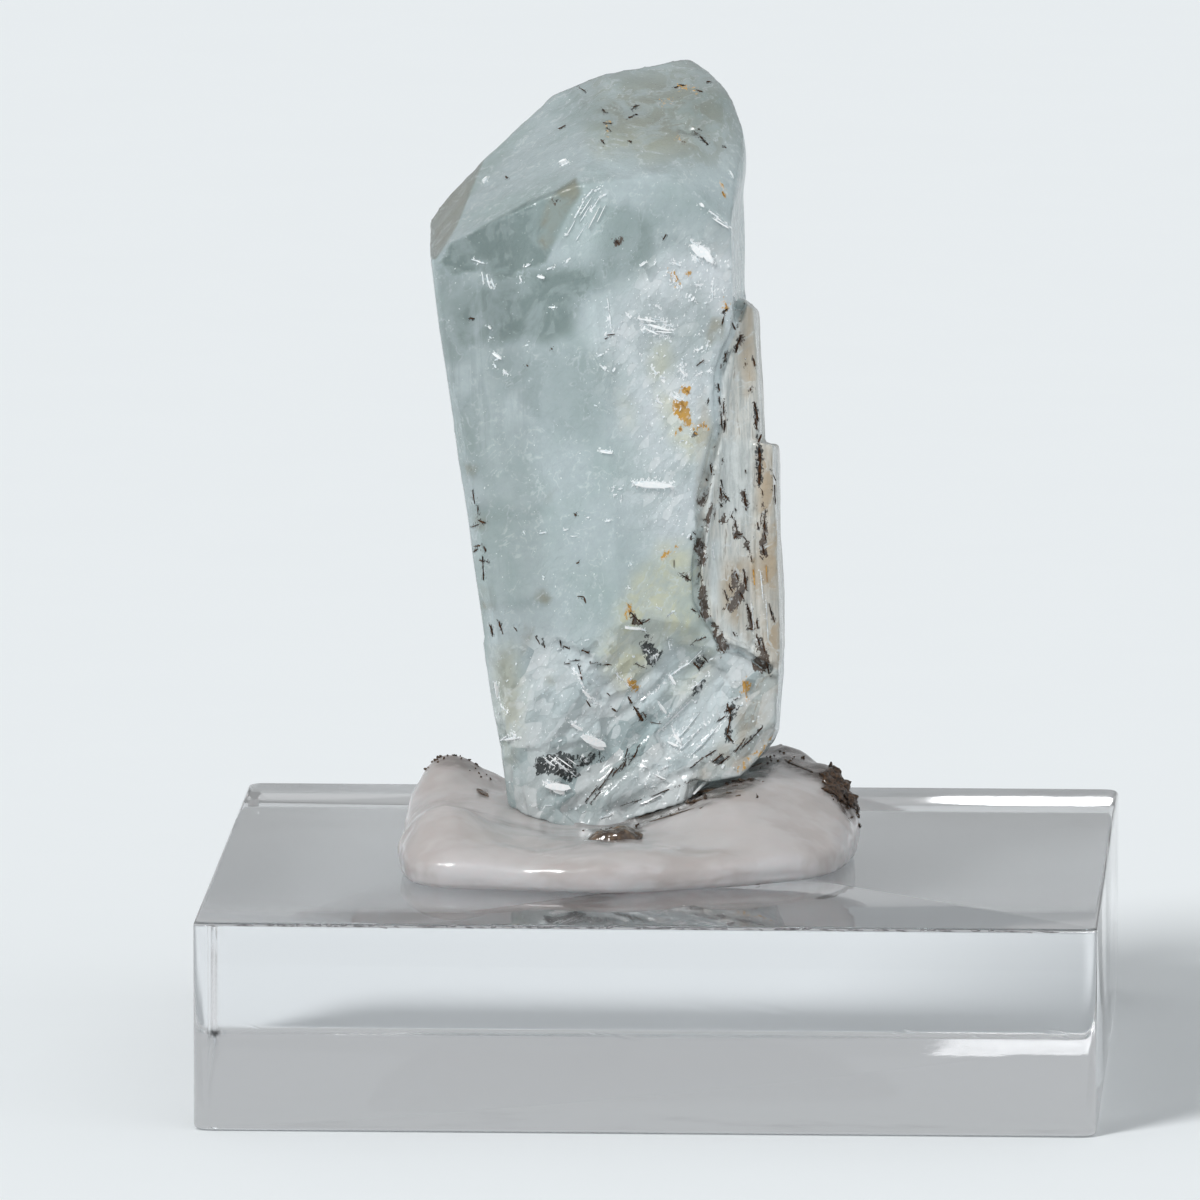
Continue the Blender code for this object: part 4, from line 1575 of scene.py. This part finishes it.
@dataclass
class Slivers:
    """Thin flat slivers that lie on the stone or the tack: flecks painted as glints, scratches, grains or
    smears.

    Attributes:
        name: The piece's name.
        strokes: Where each runs from and to in the view, and its width.
        thickness: How thick the narrowest are.
        proud: How far the middle of the narrowest stands off the surface.
        sides: How many corners each has.
        chipping: How uneven their edges are.
        chip_size: The size of that unevenness.
        added_thickness: How much thicker they get for each millimetre of width.
        added_proud: How much further off they stand for each millimetre of width.
        deepest: How much further than across and up a sliver may run in depth.
        shortest: Below this length a sliver may lie any way round.
        view: The view that they are drawn in.
    """

    name: str
    strokes: Sequence[Stroke]
    thickness: float = 0.03
    proud: float = 0.006
    sides: int = 9
    chipping: float = 0.05
    chip_size: float = 0.045
    added_thickness: float = 0.2
    added_proud: float = 0.15
    deepest: float = 0.25
    shortest: float = 1e-4
    view: View = View()

    def build(self, ground: Piece) -> Piece:
        """Builds the slivers on a piece.

        Args:
            ground: The piece that they lie on, still at working scale.

        Returns:
            The piece.
        """
        Bench.put_down()
        bpy.ops.mesh.primitive_cylinder_add(
            vertices=self.sides, radius=0.5, depth=1.0, location=(0.0, 0.0, 0.0)
        )
        model = bpy.context.object
        model.name = self.name
        copies = [copy for copy in (self.lay(model, ground, stroke) for stroke in self.strokes) if copy]
        bpy.data.objects.remove(model, do_unlink=True)
        piece = Bench.join(self.name, copies)
        Relief(self.chip_size, self.chipping, octaves=1).press(piece)
        return piece

    def lay(self, model: Piece, ground: Piece, stroke: Stroke) -> Optional[Piece]:
        """Lays one copy of the model along a stroke.

        Args:
            model: The sliver that is copied.
            ground: The piece that it lies on.
            stroke: Where it goes.

        Returns:
            The copy, or nothing where the stroke misses the piece or leaps across a step of it.
        """
        x0, y0, x1, y1, width = stroke
        places = (x0, y0), (0.5 * (x0 + x1), 0.5 * (y0 + y1)), (x1, y1)
        touched = [self.view.touch(ground, across, down) for across, down in places]
        if None in touched:
            return None
        (start, middle, end), normals = zip(*touched)
        along = end - start
        if abs(along.y) > self.deepest + math.hypot(along.x, along.z):
            return None
        up = (normals[0] + normals[1] + normals[2]).normalized()
        level = along - up * along.dot(up)
        first = level.normalized() if level.length > self.shortest else up.orthogonal().normalized()
        second = up.cross(first)
        centre = (start + middle + end) / 3.0 + up * (self.proud + self.added_proud * width)
        height = self.thickness + self.added_thickness * width
        copy = bpy.data.objects.new(self.name, model.data.copy())
        bpy.context.scene.collection.objects.link(copy)
        axes = Matrix((first * (along.length + width), second * width, up * height)).transposed()
        copy.matrix_world = Matrix.Translation(centre) @ axes.to_4x4()
        return copy


@dataclass(frozen=True)
class Sprinkle:
    """Short strokes at random places inside an outline.

    Attributes:
        outline: The outline in the view.
        count: How many places are tried.
        lean: How far the strokes lean from upright towards +X, in degrees.
        spread: How far that may be off, in degrees.
        seed: What the places are drawn from.
        margin: How far inside the outline they stay.
        lengths: The shortest stroke, and how much longer the longest is.
        widths: The narrowest stroke, and how much wider the widest is.
    """

    outline: tuple[Point2, ...]
    count: int
    lean: float
    spread: float
    seed: int
    margin: float = 0.1
    lengths: tuple[float, float] = (0.01, 0.12)
    widths: tuple[float, float] = (0.025, 0.05)

    def strokes(self) -> tuple[Stroke, ...]:
        """Draws the strokes. Most are short and narrow.

        Returns:
            The strokes.
        """
        dice = np.random.default_rng(self.seed)
        corners = np.array(self.outline)
        low, high = corners.min(axis=0), corners.max(axis=0)
        places = low + dice.random((self.count, 2)) * (high - low)
        kept = places[Plan.inside(places, self.outline) > self.margin]
        turns = np.radians(self.lean + (dice.random(len(kept)) * 2.0 - 1.0) * self.spread)
        lengths = self.lengths[0] + self.lengths[1] * dice.random(len(kept)) ** 4
        widths = self.widths[0] + self.widths[1] * dice.random(len(kept)) ** 3
        strokes = []
        for (x, y), turn, length, width in zip(kept, turns, lengths, widths):
            dx, dy = 0.5 * length * math.sin(turn), -0.5 * length * math.cos(turn)
            strokes.append((x - dx, y - dy, x + dx, y + dy, width))
        return tuple(strokes)


@dataclass
class Crumbs:
    """Crumbs of dirt that stick to a surface.

    Attributes:
        name: The piece's name.
        heaps: The heaps.
        baked: How coarsely the crumbs are baked into one crust, or 0 where they lie loose.
        seed: What their places are drawn from.
        lift: How far a crumb's middle stands off the surface, for each millimetre of its size.
    """

    name: str
    heaps: tuple[Heap, ...]
    baked: float = 0.0
    seed: int = 5
    lift: float = 0.1

    def build(self, ground: Piece) -> Piece:
        """Builds the crumbs on a piece.

        Args:
            ground: The piece that they stick to, still at working scale.

        Returns:
            The piece.
        """
        dice = np.random.default_rng(self.seed)
        Bench.put_down()
        bpy.ops.mesh.primitive_ico_sphere_add(subdivisions=1, radius=0.5, location=(0.0, 0.0, 0.0))
        model = bpy.context.object
        model.name = self.name
        copies = []
        for middle, reach, count, size in self.heaps:
            for _ in range(count):
                spot = Vector(middle) + Vector(dice.normal(size=3) * 0.5) * Vector(reach)
                _, place, normal, _ = ground.closest_point_on_mesh(spot)
                copy = bpy.data.objects.new(self.name, model.data.copy())
                bpy.context.scene.collection.objects.link(copy)
                copy.location = place + normal * self.lift * size
                copy.rotation_euler = tuple(dice.random(3) * 2.0 * math.pi)
                copy.scale = tuple(size * (0.4 + 0.9 * dice.random(3) ** 2))
                copies.append(copy)
        bpy.data.objects.remove(model, do_unlink=True)
        piece = Bench.join(self.name, copies)
        if self.baked:
            self.bake(piece)
        return piece

    def bake(self, piece: Piece) -> None:
        """Melts the crumbs into one ragged crust.

        Args:
            piece: The joined crumbs.
        """
        Bench.modify(piece, "REMESH", mode="VOXEL", voxel_size=self.baked)
        Bench.modify(piece, "SMOOTH", factor=0.5, iterations=3)
        Relief(0.22, 0.14, creased=True).press(piece)
        Bench.smooth(piece)


@dataclass
class BrownLens:
    """The smooth lens of brown, glassy dirt that is pressed into the tack in front of the crystal's foot.

    Attributes:
        middle: Its middle.
        reach: Half its width, depth and height.
        lean: How far its right end is lifted, in degrees.
        reliefs: Its lumps and its creases.
    """

    middle: Point3 = (-1.25, -4.35, 7.0)
    reach: Point3 = (0.84, 0.55, 0.36)
    lean: float = 9.0
    reliefs: tuple[Relief, ...] = (Relief(0.55, 0.22, octaves=1), Relief(0.16, 0.04, creased=True))

    def build(self) -> Piece:
        """Builds the lens.

        Returns:
            The piece.
        """
        Bench.put_down()
        turn = (0.0, -math.radians(self.lean), 0.0)
        bpy.ops.mesh.primitive_ico_sphere_add(subdivisions=5, radius=1.0, location=self.middle, rotation=turn)
        piece = bpy.context.object
        piece.name = "brown_lens"
        piece.scale = self.reach
        bpy.ops.object.transform_apply(location=True, rotation=True, scale=True)
        for relief in self.reliefs:
            relief.press(piece)
        Bench.smooth(piece)
        return piece


@dataclass(frozen=True)
class TackFinish:
    """Translucent pinkish grey tack, smooth and softly shiny, with smoky streaks and painted shade on its
    level top.

    Attributes:
        body: Its tint.
        cloud: The greyer tint of its clouds.
        level: The painted shade, a greyer tint, on its level top.
        smoke: The dirt in it.
        roughness: Its roughness.
        refraction: Its index of refraction.
        see_through: How much of the light goes straight into it.
        scattering: How much of the rest is scattered under the skin, where there is no smoke.
        scatter_radius: How far each colour scatters, against the others.
        scatter_reach: How far it scatters.
        coat: How much clear coat it has.
        coat_roughness: The coat's roughness.
    """

    body: Colour = screen(246, 242, 243)
    cloud: Colour = screen(218, 210, 207)
    level: Colour = screen(202, 195, 191)
    smoke: Colour = screen(66, 50, 36)
    roughness: float = 0.2
    refraction: float = 1.48
    see_through: float = 0.42
    scattering: float = 0.5
    scatter_radius: Colour = (1.0, 0.8, 0.8)
    scatter_reach: float = 0.9
    coat: float = 0.5
    coat_roughness: float = 0.2

    def make(self) -> Material:
        """Makes the tack's material.

        Returns:
            The material.
        """
        sheet = Sheet("mounting tack")
        place = sheet.place()
        wide = sheet.shaken(place, 1.2, 0.35)
        clouds = sheet.noise(sheet.stretched(wide, (2.0, 1.0, 1.0), -10.0), 1.5, 3.0, 0.55).outputs["Fac"]
        fine = sheet.noise(sheet.stretched(place, (2.5, 1.0, 1.0), -12.0), 0.3, 3.0, 0.6).outputs["Fac"]
        smoky = sheet.sums("MULTIPLY", sheet.attribute("smoke"), sheet.ramp(fine, 0.3, 0.62, 0.35, 1.0))
        colour = sheet.tint(sheet.ramp(clouds, 0.4, 0.62), self.body, self.cloud)
        # Painted shade: the tack is greyer where it faces up
        colour = sheet.tint(sheet.sums("MULTIPLY", sheet.attribute("level"), 0.6), colour, self.level)
        colour = sheet.tint(smoky, colour, self.smoke)
        milky = sheet.sums("MULTIPLY_ADD", smoky, -self.scattering, self.scattering, clamp=True)
        shader = sheet.surface(
            colour, self.roughness, IOR=self.refraction, Transmission_Weight=self.see_through,
            Normal=sheet.bump(clouds, 0.5, 0.12), Subsurface_Weight=milky,
        )
        sheet.fill(shader, Coat_Weight=self.coat, Coat_Roughness=self.coat_roughness)
        reach = self.scatter_reach / UNITS_PER_METRE
        sheet.fill(shader, Subsurface_Radius=self.scatter_radius, Subsurface_Scale=reach)
        return sheet.material


@dataclass
class TackLump:
    """The lump of tack: it sits on the block and takes in the crystal's foot.

    Attributes:
        voxel: How fine its surface is cut.
        seat: The height of the block's top.
        gap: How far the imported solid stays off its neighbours.
        socket_reach: How far the socket's walls are from the crystal's foot, at most.
        facing: How squarely they look at it, at least, where 1 is straight at it.
        folds: Its wide folds and its fine unevenness.
        view: The view that the smoke is drawn in.
    """

    voxel: float = 0.14
    seat: float = 5.9
    gap: float = 0.3
    socket_reach: float = 1.6
    facing: float = 0.35
    folds: tuple[Relief, ...] = (Relief(1.6, 0.2, "free", octaves=1), Relief(0.5, 0.03, "free"))
    view: View = View()

    def build(self) -> Piece:
        """Builds the lump.

        Returns:
            The piece.
        """
        piece = Bench.copy_solid("mounting_putty", "tack_lump")
        self.close_socket(piece)
        self.lower_foot(piece)
        Bench.modify(piece, "REMESH", mode="VOXEL", voxel_size=self.voxel)
        Bench.modify(piece, "SMOOTH", factor=0.5, iterations=6)
        points = Bench.points(piece)
        Bench.mark(piece, "free", smooth_step(self.seat + 0.1, self.seat + 0.7, points[:, 2]))
        for relief in self.folds:
            relief.press(piece)
        seen = self.view.seen_at(Bench.points(piece))
        normals = Bench.directions(piece)
        smoke = drawn_zones(seen, SMOKE, self.view, 0.1)
        Bench.keep(piece, "smoke", smoke * smooth_step(0.45, 0.1, normals[:, 1]))
        # Where the lump faces up, for the painted shade on its level top
        Bench.keep(piece, "level", smooth_step(0.35, 0.9, normals[:, 2]))
        Bench.smooth(piece)
        return piece

    def close_socket(self, piece: Piece) -> None:
        """Takes the socket's walls away and closes the rim that is left.

        Args:
            piece: The piece.
        """
        solid = Bench.copy_solid("topaz_crystal", "foot_guide")

        def faces_foot(face: bpy.types.MeshPolygon) -> bool:
            """Whether a face looks at the crystal's foot from close by."""
            towards = solid.closest_point_on_mesh(face.center)[1] - face.center
            return towards.length < self.socket_reach and face.normal.dot(towards.normalized()) > self.facing

        Bench.choose(piece, "FACE", faces_foot)
        bpy.data.objects.remove(solid, do_unlink=True)
        bpy.ops.mesh.delete(type="FACE")
        bpy.ops.mesh.select_mode(type="EDGE")
        bpy.ops.mesh.select_all(action="DESELECT")
        bpy.ops.mesh.select_non_manifold()
        bpy.ops.mesh.fill(use_beauty=True)
        bpy.ops.mesh.select_all(action="SELECT")
        bpy.ops.mesh.normals_make_consistent(inside=False)
        bpy.ops.object.mode_set(mode="OBJECT")

    def lower_foot(self, piece: Piece) -> None:
        """Brings the lump's flat foot down onto the block.

        Args:
            piece: The piece.
        """
        Bench.choose(piece, "VERT", lambda vertex: vertex.co.z < self.seat + self.gap + 0.05)
        bpy.ops.transform.translate(value=(0.0, 0.0, -self.gap))
        bpy.ops.object.mode_set(mode="OBJECT")


@dataclass(frozen=True)
class AcrylicFinish:
    """Clear polished acrylic with faint smudges and hairline scratches.

    Attributes:
        body: Its tint.
        refraction: Its index of refraction.
        depth_tint: The colour that light takes in its depth.
        tint_density: How strong that is, per metre.
    """

    body: Colour = screen(250, 251, 252)
    refraction: float = 1.49
    depth_tint: Colour = (0.8, 0.81, 0.84)
    tint_density: float = 6.0

    def make(self) -> Material:
        """Makes the block's material.

        Returns:
            The material.
        """
        sheet = Sheet("clear acrylic")
        place = sheet.place()
        smudge = sheet.noise(place, 3.5, 4.0, 0.6).outputs["Fac"]
        rough = sheet.ramp(smudge, 0.35, 0.75, 0.015, 0.07)
        lines = sheet.noise(sheet.stretched(place, (14.0, 1.0, 1.0), 12.0, 8.0), 0.3, 2.0, 0.5).outputs["Fac"]
        normal = sheet.bump(sheet.ramp(lines, 0.6, 0.7), 0.05, 0.004)
        sheet.surface(self.body, rough, IOR=self.refraction, Transmission_Weight=1.0, Normal=normal)
        sheet.absorb(self.depth_tint, self.tint_density)
        return sheet.material


@dataclass
class Block:
    """The square block of clear acrylic, with eased edges.

    Attributes:
        side: Its width and depth.
        height: Its height.
        corner: How far its upright edges are eased.
        corner_flats: How many flats round them.
        edge: How far its other edges are eased.
        edge_flats: How many flats round them.
        level: How far the two ends of a level edge may differ in height.
        crease: The angle above which two faces meet in a sharp edge, in degrees.
        nick_width: The width of the nicks in its upper front edge.
        nick_lengths: The shortest nick, and how much longer the longest is.
        nick_pauses: The shortest pause between nicks, and how much longer the longest is.
        nick_drift: How far a nick's end is off the level.
        nick_seed: What the lengths of the nicks are drawn from.
    """

    side: float = 25.4
    height: float = 5.9
    corner: float = 0.45
    corner_flats: int = 6
    edge: float = 0.12
    edge_flats: int = 3
    level: float = 0.01
    crease: float = 35.0
    nick_width: float = 0.045
    nick_lengths: tuple[float, float] = (0.1, 0.7)
    nick_pauses: tuple[float, float] = (0.08, 0.5)
    nick_drift: float = 0.02
    nick_seed: int = 8

    def build(self) -> Piece:
        """Builds the block.

        Returns:
            The piece.
        """
        Bench.put_down()
        bpy.ops.mesh.primitive_cube_add(size=1.0, location=(0.0, 0.0, self.height / 2.0))
        piece = bpy.context.object
        piece.name = "clear_block"
        piece.scale = (self.side, self.side, self.height)
        bpy.ops.object.transform_apply(location=True, rotation=True, scale=True)
        self.ease(piece, self.is_upright, self.corner, self.corner_flats)
        self.ease(piece, self.is_on_rim, self.edge, self.edge_flats)
        bpy.ops.object.shade_smooth_by_angle(angle=math.radians(self.crease))
        return piece

    def is_upright(self, first: Vector, second: Vector) -> bool:
        """Whether an edge stands upright."""
        return abs(first.z - second.z) > self.level

    def is_on_rim(self, first: Vector, second: Vector) -> bool:
        """Whether an edge runs round the top or the bottom face."""
        at_rim = first.z < self.level or first.z > self.height - self.level
        return at_rim and abs(first.z - second.z) < self.level

    def ease(self, piece: Piece, choose: Callable[..., bool], width: float, segments: int) -> None:
        """Bevels the chosen edges.

        Args:
            piece: The piece.
            choose: Says whether an edge between two points is bevelled.
            width: The bevel's width.
            segments: How many flats it has.
        """
        ends = [Vector(point) for point in Bench.points(piece)]
        Bench.choose(piece, "EDGE", lambda edge: choose(ends[edge.vertices[0]], ends[edge.vertices[1]]))
        bpy.ops.mesh.bevel(offset=width, segments=segments, profile=0.5, affect="EDGES")
        bpy.ops.object.mode_set(mode="OBJECT")

    def nicks(self, view: View) -> tuple[Stroke, ...]:
        """Draws the row of short dark nicks along the block's upper front edge.

        Args:
            view: The view that they are drawn in.

        Returns:
            The strokes.
        """
        dice = np.random.default_rng(self.nick_seed)
        height = self.height - 0.5 * self.edge
        front = -0.5 * self.side + 0.13 * self.edge
        end = 0.5 * self.side - self.corner
        strokes = []
        place = -end
        while place < end - 1.0:
            length = self.nick_lengths[0] + self.nick_lengths[1] * dice.random() ** 2
            pause = self.nick_pauses[0] + self.nick_pauses[1] * dice.random() ** 4
            ends = ((place, front, height), (place + length, front, height + self.nick_drift * dice.normal()))
            (x0, y0), (x1, y1) = view.seen_at(np.array(ends))
            strokes.append((x0, y0, x1, y1, self.nick_width))
            place += length + pause
        return tuple(strokes)


@dataclass(frozen=True)
class Sun:
    """A broad, far light.

    Attributes:
        name: Its name.
        towards: The way to it.
        strength: How strong it is.
        breadth: How wide it looks, in degrees.
    """

    name: str
    towards: Point3
    strength: float
    breadth: float

    def add(self) -> None:
        """Adds the light."""
        lamp = bpy.data.lights.new(self.name, "SUN")
        lamp.energy = self.strength
        lamp.angle = math.radians(self.breadth)
        holder = bpy.data.objects.new(self.name, lamp)
        holder.rotation_euler = (-Vector(self.towards)).to_track_quat("-Z", "Y").to_euler()
        bpy.context.scene.collection.objects.link(holder)


@dataclass
class Studio:
    """A pale floor, soft light and the camera.

    Attributes:
        view: What the camera sees.
        floor_side: The width of the floor.
        floor_drop: How far the floor lies under the block.
        floor_colour: The floor's colour.
        floor_dimmer: How bright its darker fibres are against that.
        sky_colour: The colour of the light from all round.
        sky_strength: How strong that light is.
        suns: The lights.
        clip: How near and how far the camera sees, in metres.
    """

    view: View = View()
    floor_side: float = 6000.0
    floor_drop: float = 0.03
    floor_colour: Colour = screen(240, 244, 246)
    floor_dimmer: float = 0.985
    sky_colour: Colour = (0.945, 0.97, 0.985)
    sky_strength: float = 0.5
    suns: tuple[Sun, ...] = (
        Sun("soft sun", (-0.62, -0.75, 0.95), 1.95, 16.0),
        Sun("fill", (0.9, -0.7, 0.5), 0.3, 70.0),
    )
    clip: tuple[float, float] = (0.01, 20.0)

    def build(self) -> None:
        """Builds the floor, the light and the camera."""
        self.add_floor()
        self.add_sky()
        for sun in self.suns:
            sun.add()
        self.add_camera()
        bpy.context.scene.view_settings.view_transform = "Standard"

    def add_floor(self) -> None:
        """Adds the pale floor."""
        Bench.put_down()
        place = (0.0, 0.0, -self.floor_drop / UNITS_PER_METRE)
        bpy.ops.mesh.primitive_plane_add(size=self.floor_side / UNITS_PER_METRE, location=place)
        floor = bpy.context.object
        floor.name = "studio_floor"
        sheet = Sheet("pale paper")
        fibre = sheet.noise(sheet.place(), 6.0, 3.0, 0.5).outputs["Fac"]
        red, green, blue = (value * self.floor_dimmer for value in self.floor_colour)
        sheet.surface(sheet.tint(fibre, self.floor_colour, (red, green, blue)), 0.85)
        floor.data.materials.append(sheet.material)

    def add_sky(self) -> None:
        """Lights everything evenly from all round."""
        world = bpy.data.worlds.new("soft surround")
        bpy.context.scene.world = world
        world.use_nodes = True
        nodes, links = world.node_tree.nodes, world.node_tree.links
        nodes.clear()
        background = nodes.new("ShaderNodeBackground")
        output = nodes.new("ShaderNodeOutputWorld")
        background.inputs["Color"].default_value = (*self.sky_colour, 1.0)
        background.inputs["Strength"].default_value = self.sky_strength
        links.new(background.outputs[0], output.inputs["Surface"])

    def add_camera(self) -> None:
        """Adds the camera."""
        camera = bpy.data.cameras.new("camera")
        camera.lens = self.view.lens
        camera.sensor_width = self.view.sensor
        camera.clip_start, camera.clip_end = self.clip
        holder = bpy.data.objects.new("camera", camera)
        holder.location = self.view.station() / UNITS_PER_METRE
        holder.rotation_euler = (-self.view.back()).to_track_quat("-Z", "Y").to_euler()
        bpy.context.scene.collection.objects.link(holder)
        bpy.context.scene.camera = holder


class Minerals(Enum):
    """The finishes of the small pieces."""

    WORN_RIM = MineralFinish("worn rim", screen(150, 148, 150), screen(92, 90, 92), 0.4)
    # The flecks and flakes are painted white, as glints of the light that they catch
    PEARLY_GLINT = MineralFinish("painted pearly glints", screen(250, 252, 253), screen(214, 224, 228), 0.15, 0.5)
    BRIGHT_GLINT = MineralFinish("painted bright glints", screen(255, 255, 255), screen(244, 249, 250), 0.1, 1.0)
    PITCH = MineralFinish("dark inclusions", screen(82, 54, 32), screen(24, 14, 8), 0.5, shine=0.12)
    RUST = MineralFinish("rust grains", screen(206, 158, 70), screen(146, 104, 46), 0.6)
    SMEAR = MineralFinish("brown smears", screen(104, 86, 70), screen(50, 38, 28), 0.25, 0.4)
    EARTH = MineralFinish("dried dirt", screen(96, 78, 62), screen(40, 32, 26), 0.8, shine=0.2)
    CRUST = MineralFinish("brown crust", screen(86, 66, 50), screen(34, 24, 17), 0.3, 0.3, shine=0.2)
    BROWN_GLASS = MineralFinish("brown glassy dirt", screen(112, 92, 72), screen(58, 42, 30), 0.14, 0.8, 0.4)


def add_stone_marks(crystal: Crystal, stone: Piece, view: View) -> None:
    """Adds the flecks and flakes, painted white as glints, and the scratches and grains on the stone.

    Args:
        crystal: The crystal's sizes.
        stone: The stone, still at working scale.
        view: The view that they are drawn in.
    """
    foot = np.array([(x, crystal.front_face, z) for x, z in crystal.broken])
    foot_seen = tuple(tuple(place) for place in view.seen_at(foot))
    glints = view.strokes(GLINTS)
    # Painted glints, scattered over the etched front and the broken foot
    glints += Sprinkle(view.outline(ETCHED), 110, lean=20.0, spread=60.0, seed=3).strokes()
    glints += Sprinkle(foot_seen, 140, lean=42.0, spread=40.0, seed=4).strokes()
    flakes, scratches, rust = (view.strokes(drawn) for drawn in (GLINT_FLAKES, SCRATCHES, RUST_GRAINS))
    thick = Slivers("glint_flakes", flakes, thickness=0.1, proud=0.03, sides=7, chipping=0.03)
    marks = (
        (Slivers("cleavage_glint_flecks", glints, chipping=0.07), Minerals.PEARLY_GLINT),
        (thick, Minerals.BRIGHT_GLINT),
        (Slivers("dark_scratches", scratches, chipping=0.07), Minerals.PITCH),
        (Slivers("rust_grains", rust, thickness=0.05), Minerals.RUST),
    )
    for mark, finish in marks:
        Bench.hand_over(mark.build(stone), finish.value.make(), Slot.STONE)


def add_tack_marks(lump: Piece, view: View) -> None:
    """Adds the smears, crumbs, crust and lens of dirt on the tack.

    Args:
        lump: The lump of tack, still at working scale.
        view: The view that the smears are drawn in.
    """
    smears = Slivers("brown_smears", view.strokes(SMEARS), proud=-0.02, sides=11, chipping=0.06)
    marks = (
        (smears.build(lump), Minerals.SMEAR),
        (Crumbs("dirt_crumbs", DIRT_HEAPS).build(lump), Minerals.EARTH),
        (Crumbs("brown_crust", CRUST_HEAPS, baked=0.07).build(lump), Minerals.CRUST),
        (BrownLens().build(), Minerals.BROWN_GLASS),
    )
    for piece, finish in marks:
        Bench.hand_over(piece, finish.value.make(), Slot.TACK)


def main() -> None:
    """Builds the studio and the specimen."""
    logging.basicConfig(level=logging.INFO, format="%(name)s: %(message)s")
    view = View()
    Studio(view).build()
    block = Block()
    slab = block.build()
    nicks = Slivers("rim_nicks", block.nicks(view)).build(slab)
    Bench.hand_over(nicks, Minerals.WORN_RIM.value.make(), Slot.ACRYLIC)
    Bench.hand_over(slab, AcrylicFinish().make(), Slot.ACRYLIC, "acrylic_base")
    lump = TackLump().build()
    crystal = Crystal()
    stone = crystal.build()
    add_stone_marks(crystal, stone, view)
    add_tack_marks(lump, view)
    Bench.hand_over(lump, TackFinish().make(), Slot.TACK, "mounting_putty")
    Bench.hand_over(stone, StoneFinish().make(), Slot.STONE, "topaz_crystal")


if __name__ == "__main__":
    main()
